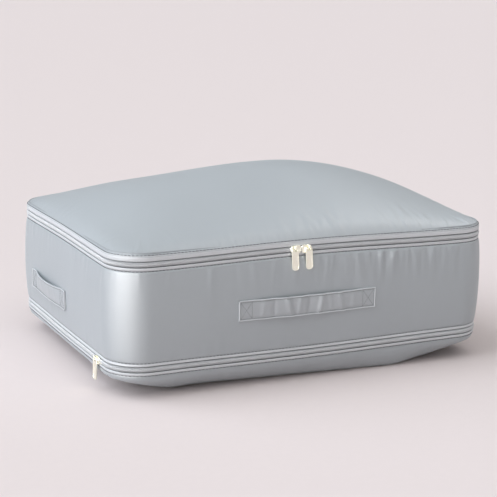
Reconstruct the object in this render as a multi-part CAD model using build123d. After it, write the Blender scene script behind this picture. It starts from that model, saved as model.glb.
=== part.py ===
from build123d import *
from math import pi, sin
import os

# Compression packing cube: a soft fabric case with a domed lid that zips open round the front,
# the sides and the back corners, and a second zip round the foot that lets the wall lift off the
# bottom panel and frees a folded gusset. Millimetres, +Z up, front of the case towards -Y.
# The origin is the centre of the flat patch on which the case rests.

# ---- driving dimensions -------------------------------------------------------------------------
CASE_LENGTH = 400.0          # X, measured at the zips
CASE_DEPTH = 300.0           # Y, measured at the zips
CORNER_RADIUS = 34.0         # plan radius of the case corners at the zips

LOW_ZIP_Z = 30.0             # height of the expander zip's centre line
LID_ZIP_Z = 131.0            # height of the lid zip's centre line
LID_TOP_Z = 188.0            # crown of the stuffed lid

FABRIC = 1.6                 # thickness given to the fabric skins
SKIN_OUTSET = 0.8            # outer face of the skins, outside the zip line
WALL_BULGE = 3.6             # outer face of the wall at mid height, outside the zip line

ZIP_GAP = 0.6                # half of the gap between the two coil halves
COIL_HEIGHT = 1.5            # one coil half, along Z
COIL_DEPTH = 1.0
TAPE_THICKNESS = 0.8
TAPE_FACE = -0.2             # outer face of the tapes, outside the zip line
BOTTOM_SEAM_DROP = 6.0       # seam of the bottom panel below the expander zip
WALL_FOOT_RISE = 6.0         # foot of the wall above the expander zip
WALL_HEAD_DROP = 6.3         # head of the wall below the lid zip
LID_SEAM_RISE = 8.5          # seam of the lid panel above the lid zip
BACK_PANEL_LENGTH = 320.0    # back panel and hinge strip, between the back corners

BINDING_THICKNESS = 1.2      # bias tape that covers the raw edges inside
BINDING_FACE = -1.0          # outer face of the bindings, outside the zip line
BINDING_HEIGHT = 4.8

MOVING_GAP = 0.3             # clearance between fabric edges that part when the case opens

GUSSET_REACH = 11.0          # how far the folded gusset reaches into the case
GUSSET_THICKNESS = 0.8
GUSSET_BOTTOM = 24.6
GUSSET_TOP = 35.7

STOP_LENGTH = 2.6            # crimped stops at the ends of the zips
STOP_HEIGHT = 1.3
STOP_DEPTH = 1.9
LID_STOP_GAP = 0.3           # between a coil's end and its stop
EXPANDER_STOP_Y = -111.0     # where the expander chain starts, on the left face

STRAP_WIDTH = 20.0           # folded fabric handles
STRAP_THICKNESS = 1.2
STRAP_END = 14.5             # sewn length at each end
STRAP_CLEARANCE = 0.3        # between the sewn ends and the loose grip
GRIP_STAND = 0.5             # between the wall and the grip's ends
GRIP_RISE = 2.4              # how far the slack grip bows away from the wall
FRONT_STRAP_LENGTH = 146.0
FRONT_STRAP_X = -8.0
FRONT_STRAP_Z = 77.3
SIDE_STRAP_LENGTH = 107.0
SIDE_STRAP_Y = 39.0
SIDE_STRAP_Z = 65.0

SLIDER_LENGTH = 10.6
SLIDER_HEIGHT = 8.4
SLIDER_NOSE_RADIUS = 2.6
PLATE_THICKNESS = 1.1
FRONT_PLATE_START = 1.1      # both plates, outward from the zip line
REAR_PLATE_START = -2.4
POST_THICKNESS = 0.6
POST_LENGTH = 2.4
POST_SHIFT = 3.4             # towards the nose
LOOP_SHIFT = -1.8            # the pull's loop sits towards the tail
LOOP_WIDTH = 1.6
LOOP_BAR = 0.8
LOOP_HEIGHT = 4.2
LOOP_RISE = 2.9              # how far the loop stands off the front plate
PIVOT_RISE = 1.8             # pull pivot above the zip line
PIVOT_OUT = 3.3              # pull pivot outward from the zip line
TAB_WIDTH = 7.3
TAB_LENGTH = 22.4
TAB_HEAD = 0.55              # tab above its pivot
TAB_THICKNESS = 1.0
TAB_SLOT_WIDTH = 4.0
TAB_SLOT_END = 3.7           # lower end of the slot below the pivot
TAB_RIM = 1.1
TAB_DISH = 0.3               # depth of the sunk field inside the rim
TAB_FIELD_TOP = 5.2

LID_SLIDER_MEET_X = -16.1    # where the two lid sliders meet, nose to nose
SLIDER_REST_GAP = 0.5
EXPANDER_SLIDER_Y = -102.0

LID_SEAM_Z = LID_ZIP_Z + LID_SEAM_RISE
HALF_LENGTH = CASE_LENGTH / 2 + SKIN_OUTSET
HALF_DEPTH = CASE_DEPTH / 2 + SKIN_OUTSET
SEAM_RADIUS = CORNER_RADIUS + SKIN_OUTSET

LID_LEVELS = 12              # level curves that shape the lid
LID_FLAT = 0.992             # share of the lid's rise at which its small flat crown is cut
LID_RADIUS_GROWTH = 30.0     # corners of the level curves open out towards the crown
LID_LENGTH_POWERS = (1.5, 0.48)
LID_DEPTH_POWERS = (1.1, 0.55)

BOTTOM_SEAM_Z = LOW_ZIP_Z - BOTTOM_SEAM_DROP
BOTTOM_LEVELS = 8            # level curves that shape the bottom
BOTTOM_RIM = 4.0             # upright rim below the bottom's seam
BOTTOM_END_REACH = 86.0      # how far in from the ends the bottom meets the floor
BOTTOM_FRONT_REACH = 42.0    # how far in from the front and back it does
BOTTOM_RADIUS_GROWTH = 26.0

WALL_FOOT_Z = LOW_ZIP_Z + WALL_FOOT_RISE
WALL_HEAD_Z = LID_ZIP_Z - WALL_HEAD_DROP
WALL_MIDDLE_Z = (WALL_FOOT_Z + WALL_HEAD_Z) / 2


# ---- general shapes -----------------------------------------------------------------------------
def outline(outset):
    """Face of the case's plan outline, moved outward by outset."""
    return RectangleRounded(
        CASE_LENGTH + 2 * outset,
        CASE_DEPTH + 2 * outset,
        CORNER_RADIUS + outset,
    )


def band(outer, thickness, low, high):
    """Closed upright band round the case, its outer face outer mm outside the zip line."""
    flat_ring = outline(outer) - outline(outer - thickness)
    return Pos(0, 0, low) * extrude(flat_ring, amount=high - low)


def level(z, half_length, half_depth, radius):
    """One level curve of a soft panel."""
    return Pos(0, 0, z) * RectangleRounded(2 * half_length, 2 * half_depth, radius)


def shell(curves, rise, ruled=False):
    """Fabric skin lofted through level curves, its inner face moved by rise at the crown."""
    outer = loft([level(*curve) for curve in curves], ruled=ruled)
    last = len(curves) - 1
    inner_levels = []
    for index, (z, half_length, half_depth, radius) in enumerate(curves):
        inner_z = z + rise * index / last
        inner_levels.append(level(inner_z, half_length - FABRIC, half_depth - FABRIC, radius - FABRIC))
    return outer - loft(inner_levels, ruled=ruled)


def bottom_curves():
    """Level curves of the stuffed bottom: an upright rim, then a shallow bowl with a flat patch."""
    bowl_height = BOTTOM_SEAM_Z - BOTTOM_RIM
    curves = [(BOTTOM_SEAM_Z, HALF_LENGTH, HALF_DEPTH, SEAM_RADIUS)]
    for index in range(BOTTOM_LEVELS):
        share = index / (BOTTOM_LEVELS - 1)
        z = bowl_height * (1 - share) ** 2
        half_length = HALF_LENGTH - BOTTOM_END_REACH * share
        half_depth = HALF_DEPTH - BOTTOM_FRONT_REACH * share
        curves.append((z, half_length, half_depth, SEAM_RADIUS + BOTTOM_RADIUS_GROWTH * share))
    return curves


def lid_curves():
    """Level curves of the stuffed lid, fuller along its length than across its depth."""
    curves = []
    for index in range(LID_LEVELS):
        share = LID_FLAT * sin(index / (LID_LEVELS - 1) * pi / 2)
        z = LID_SEAM_Z + (LID_TOP_Z - LID_SEAM_Z) * share / LID_FLAT
        half_length = HALF_LENGTH * narrowing(share, LID_LENGTH_POWERS)
        half_depth = HALF_DEPTH * narrowing(share, LID_DEPTH_POWERS)
        radius = min(SEAM_RADIUS + LID_RADIUS_GROWTH * share, 0.85 * half_depth)
        curves.append((z, half_length, half_depth, radius))
    return curves


def narrowing(share, powers):
    """Share of the seam's size left at a share of the lid's rise."""
    return (1 - share ** powers[0]) ** powers[1]


def back_zone():
    """Block round the straight stretch of the back, where the lid is hinged."""
    return Pos(0, CASE_DEPTH / 2, 100) * Box(BACK_PANEL_LENGTH, 60, 300)


# ---- fabric panels ------------------------------------------------------------------------------
def bottom_panel():
    return shell(bottom_curves(), FABRIC, ruled=True)


def lid_panel():
    return shell(lid_curves(), -FABRIC, ruled=True)


def wall_tube():
    """The whole upright wall, bulging at mid height."""
    heights = [
        (WALL_FOOT_Z, SKIN_OUTSET),
        (WALL_MIDDLE_Z, WALL_BULGE),
        (WALL_HEAD_Z, SKIN_OUTSET),
    ]
    outer = loft([Pos(0, 0, z) * outline(outset) for z, outset in heights])
    inner = loft([Pos(0, 0, z) * outline(outset - FABRIC) for z, outset in heights])
    return outer - inner


def side_wall():
    """One strip of fabric: left side, front and right side, up to the back corners' ends."""
    return wall_tube() - back_zone()


def back_panel():
    return wall_tube() & back_zone()


def gusset():
    """Folded expansion fabric: two leaves that meet at a fold inside the case."""
    lower_leaf = band(
        BINDING_FACE, GUSSET_REACH + BINDING_FACE, GUSSET_BOTTOM, GUSSET_BOTTOM + GUSSET_THICKNESS
    )
    upper_leaf = band(
        BINDING_FACE - MOVING_GAP,
        GUSSET_REACH + BINDING_FACE - MOVING_GAP,
        GUSSET_TOP - GUSSET_THICKNESS,
        GUSSET_TOP,
    )
    fold = band(-GUSSET_REACH + GUSSET_THICKNESS, GUSSET_THICKNESS, GUSSET_BOTTOM, GUSSET_TOP)
    return lower_leaf + fold + upper_leaf


def hinge_strip():
    """Fabric that joins the lid to the back panel between the back corners."""
    return band(TAPE_FACE, TAPE_THICKNESS, WALL_HEAD_Z + MOVING_GAP, LID_SEAM_Z) & back_zone()


def binding(low, high):
    return band(BINDING_FACE, BINDING_THICKNESS, low, high)


# ---- zips ---------------------------------------------------------------------------------------
def tape(low, high):
    return band(TAPE_FACE, TAPE_THICKNESS, low, high)


def coil(low):
    return band(TAPE_FACE + COIL_DEPTH, COIL_DEPTH, low, low + COIL_HEIGHT)


def lid_zip_stops():
    """Two crimped stops, one past each end of the lid chain, on the back face."""
    block = Box(STOP_LENGTH, STOP_DEPTH, STOP_HEIGHT)
    reach = BACK_PANEL_LENGTH / 2 - STOP_LENGTH / 2 - LID_STOP_GAP
    y = CASE_DEPTH / 2 + TAPE_FACE + STOP_DEPTH / 2
    z = LID_ZIP_Z - ZIP_GAP - STOP_HEIGHT / 2
    return Compound([Pos(side * reach, y, z) * block for side in (-1, 1)])


def expander_stops():
    """Two crimped stops, side by side, where the expander chain ends and starts again."""
    block = Box(STOP_DEPTH / 2, STOP_LENGTH / 2, STOP_HEIGHT)
    x = -(CASE_LENGTH / 2 + TAPE_FACE + COIL_DEPTH + STOP_DEPTH / 4)
    z = LOW_ZIP_Z - ZIP_GAP - STOP_HEIGHT / 2
    return Compound([Pos(x, EXPANDER_STOP_Y + step, z) * block for step in (0, STOP_LENGTH)])


# ---- handles ------------------------------------------------------------------------------------
def strap_ends(length):
    """The two sewn ends of a handle lying along X on a wall that faces -Y, wall face at Y 0."""
    block = Box(STRAP_END, STRAP_THICKNESS, STRAP_WIDTH)
    reach = (length - STRAP_END) / 2
    return Compound([Pos(side * reach, -STRAP_THICKNESS / 2, 0) * block for side in (-1, 1)])


def strap_grip(length):
    """The loose middle of a handle, bowed slightly away from the wall."""
    half = length / 2 - STRAP_END - STRAP_CLEARANCE
    near = -GRIP_STAND
    far = near - STRAP_THICKNESS
    inner = ThreePointArc((-half, near), (0, near - GRIP_RISE), (half, near))
    outer = ThreePointArc((-half, far), (0, far - GRIP_RISE), (half, far))
    left = Line((-half, near), (-half, far))
    right = Line((half, near), (half, far))
    profile = make_face([inner, right, outer, left])
    return Pos(0, 0, -STRAP_WIDTH / 2) * extrude(profile, amount=STRAP_WIDTH)


# ---- zip sliders, built with the chain along X, the outside towards -Y and the nose towards +X --
def plate(start):
    """One wing of a slider, in the wall's plane, from start to start + PLATE_THICKNESS outward."""
    face = Plane.XZ.offset(start) * RectangleRounded(SLIDER_LENGTH, SLIDER_HEIGHT, SLIDER_NOSE_RADIUS)
    return extrude(face, amount=PLATE_THICKNESS)


def slider_body():
    """Front and rear wings joined by a thin post that runs between the two coil halves."""
    outer_face = FRONT_PLATE_START + PLATE_THICKNESS
    depth = outer_face - REAR_PLATE_START
    post = Pos(POST_SHIFT, -(outer_face + REAR_PLATE_START) / 2, 0) * Box(POST_LENGTH, depth, POST_THICKNESS)
    front = plate(FRONT_PLATE_START)
    front = fillet(front.faces().sort_by(Axis.Y)[0].edges(), 0.4)
    return front + plate(REAR_PLATE_START) + post


def slider_loop():
    """Upright loop on the front wing that the pull hangs from."""
    start = FRONT_PLATE_START + PLATE_THICKNESS
    block = Pos(LOOP_SHIFT, -start - LOOP_RISE / 2, PIVOT_RISE) * Box(LOOP_WIDTH, LOOP_RISE, LOOP_HEIGHT)
    block = fillet(block.faces().sort_by(Axis.Y)[0].edges(), 0.35)
    hole_rise = LOOP_RISE - LOOP_BAR
    hole = Pos(LOOP_SHIFT, -start - hole_rise / 2, PIVOT_RISE) * Box(
        LOOP_WIDTH + 1, hole_rise, LOOP_HEIGHT - 2 * LOOP_BAR
    )
    return block - hole


def pull_tab():
    """Flat pull hanging from its pivot, with a slot for the loop and a raised rim."""
    top = PIVOT_RISE + TAB_HEAD
    centre = top - TAB_LENGTH / 2
    middle = Plane.XZ.offset(PIVOT_OUT - TAB_THICKNESS / 2)
    tip_radius = TAB_WIDTH / 2 - 0.3
    blank = extrude(
        middle * Pos(LOOP_SHIFT, centre) * RectangleRounded(TAB_WIDTH, TAB_LENGTH, tip_radius),
        amount=TAB_THICKNESS,
    )
    head = extrude(
        middle * Pos(LOOP_SHIFT, top - TAB_WIDTH / 4) * RectangleRounded(TAB_WIDTH, TAB_WIDTH / 2, 0.5),
        amount=TAB_THICKNESS,
    )
    slot_top = PIVOT_RISE - TAB_HEAD
    slot_height = TAB_SLOT_END - TAB_HEAD
    slot = Pos(LOOP_SHIFT, -PIVOT_OUT, slot_top - slot_height / 2) * Box(TAB_SLOT_WIDTH, 4, slot_height)
    field_top = PIVOT_RISE - TAB_FIELD_TOP
    field_bottom = top - TAB_LENGTH + TAB_RIM
    field_height = field_top - field_bottom
    field_width = TAB_WIDTH - 2 * TAB_RIM
    front = Plane.XZ.offset(PIVOT_OUT + TAB_THICKNESS / 2 - TAB_DISH)
    field = extrude(
        front * Pos(LOOP_SHIFT, field_bottom + field_height / 2)
        * RectangleRounded(field_width, field_height, field_width / 2 - 0.3),
        amount=TAB_DISH * 2,
    )
    return blank + head - slot - field


# ---- nodes --------------------------------------------------------------------------------------
def fabric_nodes():
    tape_low = LID_ZIP_Z - ZIP_GAP
    tape_high = LID_ZIP_Z + ZIP_GAP
    lower_edge = LOW_ZIP_Z - ZIP_GAP
    upper_edge = LOW_ZIP_Z + ZIP_GAP
    back = back_zone()
    return {
        "bottom_panel": bottom_panel(),
        "bottom_seam_binding": binding(BOTTOM_SEAM_Z - 3.4, BOTTOM_SEAM_Z + 0.2),
        "expander_tape_lower": tape(BOTTOM_SEAM_Z, lower_edge),
        "expander_coil_lower": coil(lower_edge - COIL_HEIGHT),
        "expander_stops": expander_stops(),
        "expansion_gusset": gusset(),
        "side_wall": side_wall(),
        "back_panel": back_panel(),
        "wall_foot_binding": binding(WALL_FOOT_Z + MOVING_GAP, WALL_FOOT_Z + BINDING_HEIGHT),
        "wall_head_binding": binding(WALL_HEAD_Z - BINDING_HEIGHT, WALL_HEAD_Z),
        "expander_tape_upper": tape(upper_edge, WALL_FOOT_Z),
        "expander_coil_upper": coil(upper_edge),
        "lid_zip_tape_lower": tape(WALL_HEAD_Z, tape_low) - back,
        "lid_zip_coil_lower": coil(tape_low - COIL_HEIGHT) - back,
        "lid_zip_stops": lid_zip_stops(),
        "lid_panel": lid_panel(),
        "lid_zip_tape_upper": tape(tape_high, LID_SEAM_Z) - back,
        "lid_zip_coil_upper": coil(tape_high) - back,
        "lid_seam_binding": binding(LID_SEAM_Z - 3.8, LID_SEAM_Z),
        "hinge_strip": hinge_strip(),
    }


def strap_nodes():
    front_place = Pos(FRONT_STRAP_X, -CASE_DEPTH / 2 - WALL_BULGE, FRONT_STRAP_Z)
    side_place = Pos(-CASE_LENGTH / 2 - WALL_BULGE, SIDE_STRAP_Y, SIDE_STRAP_Z) * Rot(0, 0, -90)
    return {
        "front_strap_ends": front_place * strap_ends(FRONT_STRAP_LENGTH),
        "front_strap_grip": front_place * strap_grip(FRONT_STRAP_LENGTH),
        "side_strap_ends": side_place * strap_ends(SIDE_STRAP_LENGTH),
        "side_strap_grip": side_place * strap_grip(SIDE_STRAP_LENGTH),
    }


def slider_nodes():
    """Body, loop and pull of the left and right lid sliders and of the expander slider."""
    reach = (SLIDER_LENGTH + SLIDER_REST_GAP) / 2
    left_place = Pos(LID_SLIDER_MEET_X - reach, -CASE_DEPTH / 2, LID_ZIP_Z)
    right_place = Pos(LID_SLIDER_MEET_X + reach, -CASE_DEPTH / 2, LID_ZIP_Z)
    expander_place = Pos(-CASE_LENGTH / 2, EXPANDER_SLIDER_Y, LOW_ZIP_Z) * Rot(0, 0, -90)
    nodes = {}
    for piece, shape in (("slider", slider_body()), ("loop", slider_loop()), ("pull", pull_tab())):
        nodes["left_" + piece] = left_place * shape
        nodes["right_" + piece] = right_place * mirror(shape, about=Plane.YZ)
        nodes["expander_" + piece] = expander_place * shape
    return nodes


def main():
    os.makedirs("parts", exist_ok=True)
    nodes = {**fabric_nodes(), **strap_nodes(), **slider_nodes()}
    for name, shape in nodes.items():
        export_step(shape, "parts/" + name + ".step")
        print(name, round(shape.volume, 1))


main()
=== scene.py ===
"""A stuffed compression packing cube in satin nylon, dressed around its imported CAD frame."""

import logging
import math
from dataclasses import dataclass, field
from enum import Enum
from typing import Callable, Optional, Sequence

import bmesh
import bpy
import numpy as np
from mathutils import Matrix, Vector


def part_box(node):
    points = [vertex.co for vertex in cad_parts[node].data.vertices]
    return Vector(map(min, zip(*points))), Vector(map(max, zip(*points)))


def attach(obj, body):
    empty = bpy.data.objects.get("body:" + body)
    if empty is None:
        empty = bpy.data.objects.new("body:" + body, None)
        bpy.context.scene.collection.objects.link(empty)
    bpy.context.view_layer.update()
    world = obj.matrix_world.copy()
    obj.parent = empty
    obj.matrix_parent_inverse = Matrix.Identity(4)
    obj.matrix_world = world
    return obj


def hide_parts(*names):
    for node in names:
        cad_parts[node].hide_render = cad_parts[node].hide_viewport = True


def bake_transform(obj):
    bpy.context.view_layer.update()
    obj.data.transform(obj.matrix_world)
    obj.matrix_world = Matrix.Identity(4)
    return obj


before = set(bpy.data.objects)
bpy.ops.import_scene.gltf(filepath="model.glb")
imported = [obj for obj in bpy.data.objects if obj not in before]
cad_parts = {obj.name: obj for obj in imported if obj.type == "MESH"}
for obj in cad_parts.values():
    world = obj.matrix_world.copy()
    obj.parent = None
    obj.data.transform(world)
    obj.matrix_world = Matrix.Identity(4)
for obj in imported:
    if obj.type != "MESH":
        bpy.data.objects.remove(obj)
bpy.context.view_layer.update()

MM = 0.001
LOG = logging.getLogger("packing_cube")


class Body(Enum):
    """The moving bodies of the case."""

    BASE = "base"
    WALL = "wall"
    LID = "lid"
    FRONT_GRIP = "front_grip"
    SIDE_GRIP = "side_grip"
    LEFT_SLIDER = "left_slider"
    LEFT_PULL = "left_pull"
    RIGHT_SLIDER = "right_slider"
    RIGHT_PULL = "right_pull"
    EXPANDER_SLIDER = "expander_slider"
    EXPANDER_PULL = "expander_pull"


class Slot(Enum):
    """The record's material slots."""

    SHELL = "shell_fabric"
    GUSSET = "gusset_fabric"
    STRAP = "strap_fabric"
    TAPE = "zip_tape"
    BINDING = "seam_binding"
    COIL = "zip_coil"
    METAL = "gold_metal"


# ---- shader building ----------------------------------------------------------------------------
class NodeSheet:
    """A thin helper that lays nodes into one node tree."""

    def __init__(self, tree: bpy.types.NodeTree) -> None:
        """Keeps the tree to build in.

        Args:
            tree: The node tree of a material or of a shader group.
        """
        self.tree = tree

    def add(self, kind: str, **settings: object) -> bpy.types.Node:
        """Adds one node and sets its properties.

        Args:
            kind: The node's type name.
            settings: Properties to set on the node.

        Returns:
            The new node.
        """
        node = self.tree.nodes.new(kind)
        for name, value in settings.items():
            setattr(node, name, value)
        return node

    def feed(self, socket: bpy.types.NodeSocket, value: object) -> None:
        """Links an output socket to a socket, or sets a plain value on it.

        Args:
            socket: The input socket.
            value: A socket to link, or a value to set.
        """
        if isinstance(value, bpy.types.NodeSocket):
            self.tree.links.new(value, socket)
        else:
            socket.default_value = value

    def math(self, operation: str, *values: object) -> bpy.types.NodeSocket:
        """Adds a math node.

        Args:
            operation: The math operation's name.
            values: Sockets or numbers for its inputs.

        Returns:
            The result socket.
        """
        node = self.add("ShaderNodeMath", operation=operation)
        for socket, value in zip(node.inputs, values):
            self.feed(socket, value)
        return node.outputs[0]

    def fill(self, node: bpy.types.Node, values: dict[str, object]) -> bpy.types.Node:
        """Feeds sockets or plain values to a node's inputs.

        Args:
            node: The node to feed.
            values: What each named input gets.

        Returns:
            The same node.
        """
        for name, value in values.items():
            self.feed(node.inputs[name], value)
        return node

    def group(self, name: str, values: dict[str, object]) -> bpy.types.Node:
        """Places a shared group and feeds its inputs."""
        return self.fill(self.add("ShaderNodeGroup", node_tree=GroupBook.get(name)), values)

    def noise(self, vector: object, scale: float, detail: float, rough: float) -> bpy.types.NodeSocket:
        """Adds a noise texture and returns its factor socket."""
        values = {"Vector": vector, "Scale": scale, "Detail": detail, "Roughness": rough}
        return self.fill(self.add("ShaderNodeTexNoise"), values).outputs["Fac"]

    def spread(self, value: object, low: object, high: object) -> bpy.types.NodeSocket:
        """Maps a 0 to 1 value onto low to high."""
        values = {"Value": value, "To Min": low, "To Max": high}
        return self.fill(self.add("ShaderNodeMapRange"), values).outputs["Result"]

    def blend(self, factor: object, first: object, second: object) -> bpy.types.NodeSocket:
        """Mixes two colours.

        Args:
            factor: Share of the second colour.
            first: The first colour.
            second: The second colour.

        Returns:
            The mixed colour.
        """
        node = self.add("ShaderNodeMix", data_type="RGBA")
        for index, value in ((0, factor), (6, first), (7, second)):
            self.feed(node.inputs[index], value)
        return node.outputs[2]

    def bump(self, height: bpy.types.NodeSocket, strength: float, distance: float) -> bpy.types.NodeSocket:
        """Turns a height into a normal and returns its socket."""
        values = {"Height": height, "Strength": strength, "Distance": distance}
        return self.fill(self.add("ShaderNodeBump"), values).outputs[0]


class GroupBook:
    """The shared shader groups, each built once."""

    _made: dict[str, bpy.types.NodeTree] = {}

    @classmethod
    def get(cls, name: str) -> bpy.types.NodeTree:
        """Returns a shared group, building it on first use.

        Args:
            name: One of weave, cloth_tone or brushed.

        Returns:
            The group's node tree.
        """
        if name not in cls._made:
            tree = bpy.data.node_groups.new(name, "ShaderNodeTree")
            getattr(cls, "_build_" + name)(tree)
            cls._made[name] = tree
        return cls._made[name]

    @staticmethod
    def _open(
        tree: bpy.types.NodeTree, inputs: dict[str, object], outputs: dict[str, str]
    ) -> tuple[NodeSheet, bpy.types.Node, bpy.types.Node]:
        """Declares a group's sockets and lays its two end nodes.

        Args:
            tree: The group's node tree.
            inputs: Each input's value: four numbers for a colour, one for a float.
            outputs: Each output's kind, Color or Float.

        Returns:
            The helper, the input node and the output node.
        """
        for name, value in inputs.items():
            kind = "NodeSocketColor" if isinstance(value, tuple) else "NodeSocketFloat"
            tree.interface.new_socket(name=name, in_out="INPUT", socket_type=kind).default_value = value
        for name, kind in outputs.items():
            tree.interface.new_socket(name=name, in_out="OUTPUT", socket_type="NodeSocket" + kind)
        sheet = NodeSheet(tree)
        return sheet, sheet.add("NodeGroupInput"), sheet.add("NodeGroupOutput")

    @classmethod
    def _build_weave(cls, tree: bpy.types.NodeTree) -> None:
        """Crossing threads: a height, and a painted shade that is darker between the threads.

        Args:
            tree: The group's node tree.
        """
        inputs = {"Thread": 0.0004, "Rib": 1.0}
        sheet, given, out = cls._open(tree, inputs, {"Height": "Float", "Shade": "Float"})
        place = sheet.add("ShaderNodeUVMap", uv_map="cloth").outputs[0]
        split = sheet.fill(sheet.add("ShaderNodeSeparateXYZ"), {"Vector": place})
        turn = sheet.math("DIVIDE", 2 * math.pi, given.outputs["Thread"])
        cross_turn = sheet.math("DIVIDE", turn, given.outputs["Rib"])
        along = sheet.math("SINE", sheet.math("MULTIPLY", split.outputs[0], turn))
        across = sheet.math("SINE", sheet.math("MULTIPLY", split.outputs[1], cross_turn))
        height = sheet.math("MULTIPLY_ADD", sheet.math("MULTIPLY", along, across), 0.5, 0.5)
        sheet.fill(out, {"Height": height, "Shade": height})

    @classmethod
    def _build_cloth_tone(cls, tree: bpy.types.NodeTree) -> None:
        """Soft, uneven tone of dyed cloth: broad patches with a finer slub, darkened by the weave's painted
        shade between the threads.

        Args:
            tree: The group's node tree.
        """
        inputs = {"Color": (0.5, 0.5, 0.5, 1), "Amount": 0.06, "Shade": 1.0}
        sheet, given, out = cls._open(tree, inputs, {"Color": "Color", "Tone": "Float"})
        place = sheet.add("ShaderNodeTexCoord").outputs["Object"]
        broad = sheet.noise(place, 9.0, 3.0, 0.55)
        fine = sheet.noise(place, 420.0, 2.0, 0.6)
        tone = sheet.math("MULTIPLY_ADD", fine, 0.35, sheet.math("MULTIPLY", broad, 0.65))
        low = sheet.math("SUBTRACT", 1.0, given.outputs["Amount"])
        high = sheet.math("ADD", 1.0, given.outputs["Amount"])
        level = sheet.math("MULTIPLY", sheet.spread(tone, low, high), given.outputs["Shade"])
        scale = sheet.add("ShaderNodeVectorMath", operation="SCALE")
        sheet.feed(scale.inputs[0], given.outputs["Color"])
        sheet.fill(scale, {"Scale": level})
        sheet.fill(out, {"Color": scale.outputs[0], "Tone": tone})

    @classmethod
    def _build_brushed(cls, tree: bpy.types.NodeTree) -> None:
        """Fine brushed grain of plated metal, with its colour, roughness and height; raised edges turn the
        lighter colour, for rubbed plating and a painted highlight.

        Args:
            tree: The group's node tree.
        """
        inputs = {"Color": (0.8, 0.7, 0.5, 1), "Rubbed And Glint": (0.7, 0.65, 0.55, 1)}
        kinds = {"Color": "Color", "Roughness": "Float", "Height": "Float"}
        sheet, given, out = cls._open(tree, inputs, kinds)
        place = sheet.add("ShaderNodeTexCoord").outputs["Object"]
        stretch = {"Vector": place, "Scale": (9000.0, 9000.0, 500.0)}
        grain = sheet.noise(sheet.fill(sheet.add("ShaderNodeMapping"), stretch).outputs[0], 1.0, 2.0, 0.6)
        # Raised edges take the lighter second colour and hollows keep the base: rubbed plating and painted
        # edge highlight together.
        rub_and_glint_patches = sheet.noise(place, 260.0, 4.0, 0.65)
        edge = sheet.spread(sheet.add("ShaderNodeNewGeometry").outputs["Pointiness"], -6.0, 8.0)
        rubbed_and_glint = sheet.fill(sheet.add("ShaderNodeClamp"), {"Value": sheet.math("MULTIPLY", edge, rub_and_glint_patches)})
        color = sheet.blend(rubbed_and_glint.outputs[0], given.outputs["Color"], given.outputs["Rubbed And Glint"])
        sheet.fill(out, {"Color": color, "Roughness": sheet.spread(grain, 0.22, 0.38), "Height": grain})


@dataclass(frozen=True)
class Finish:
    """A finish whose material is made once.

    Attributes:
        name: The material's name.
        color: Linear base colour.
    """

    name: str
    color: tuple[float, float, float]

    def build(self) -> bpy.types.Material:
        """Makes the material, or returns the one already made."""
        found = bpy.data.materials.get(self.name)
        if found is not None:
            return found
        material = bpy.data.materials.new(self.name)
        material.use_nodes = True
        self._lay(NodeSheet(material.node_tree), material.node_tree.nodes["Principled BSDF"])
        return material

    def _lay(self, sheet: NodeSheet, shader: bpy.types.Node) -> None:
        """Lays the finish's own nodes in front of the shader."""
        raise NotImplementedError


@dataclass(frozen=True)
class ClothFinish(Finish):
    """A woven or knitted cloth.

    Attributes:
        thread: Distance between threads, in metres.
        rib: How much longer the cross thread's spacing is.
        bump: Height of the threads, in metres.
        roughness: Lowest and highest roughness.
        sheen: Sheen weight.
        variation: How uneven the dye is.
        contrast: Darkest painted shade between threads.
        gloss: Specular level.
        stretch: How far the threads draw a highlight out, from 0 to 1.
    """

    thread: float = 0.00045
    rib: float = 1.0
    bump: float = 0.00004
    roughness: tuple[float, float] = (0.36, 0.46)
    sheen: float = 0.15
    variation: float = 0.05
    contrast: float = 0.93
    gloss: float = 0.5
    stretch: float = 0.0

    def _lay(self, sheet: NodeSheet, shader: bpy.types.Node) -> None:
        """Lays the weave, the dye's tone and the cloth's gloss.

        Args:
            sheet: Lays nodes into the material.
            shader: The material's shader.
        """
        weave = sheet.group("weave", {"Thread": self.thread, "Rib": self.rib})
        # Painted shade: the cloth's colour is darkened between the threads.
        shade = sheet.spread(weave.outputs["Shade"], self.contrast, 1.0)
        dye = {"Color": (*self.color, 1), "Amount": self.variation, "Shade": shade}
        tone = sheet.group("cloth_tone", dye)
        sheet.fill(shader, {
            "Base Color": tone.outputs["Color"],
            "Roughness": sheet.spread(tone.outputs["Tone"], *self.roughness),
            "Normal": sheet.bump(weave.outputs["Height"], 0.6, self.bump),
            "Sheen Weight": self.sheen,
            "Sheen Roughness": 0.4,
            "Specular IOR Level": self.gloss,
            "Anisotropic": self.stretch,
            "Anisotropic Rotation": 0.25,
        })


@dataclass(frozen=True)
class MetalFinish(Finish):
    """Brushed, plated metal.

    Attributes:
        rubbed_and_glint: Lighter linear colour on raised edges, where the plating is rubbed and where it
            paints a highlight.
    """

    rubbed_and_glint: tuple[float, float, float]

    def _lay(self, sheet: NodeSheet, shader: bpy.types.Node) -> None:
        """Lays the brushed grain and its colour.

        Args:
            sheet: Lays nodes into the material.
            shader: The material's shader.
        """
        grain = sheet.group("brushed", {"Color": (*self.color, 1), "Rubbed And Glint": (*self.rubbed_and_glint, 1)})
        sheet.fill(shader, {
            "Base Color": grain.outputs["Color"],
            "Roughness": grain.outputs["Roughness"],
            "Normal": sheet.bump(grain.outputs["Height"], 0.25, 0.00002),
            "Metallic": 0.9,
        })


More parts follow.
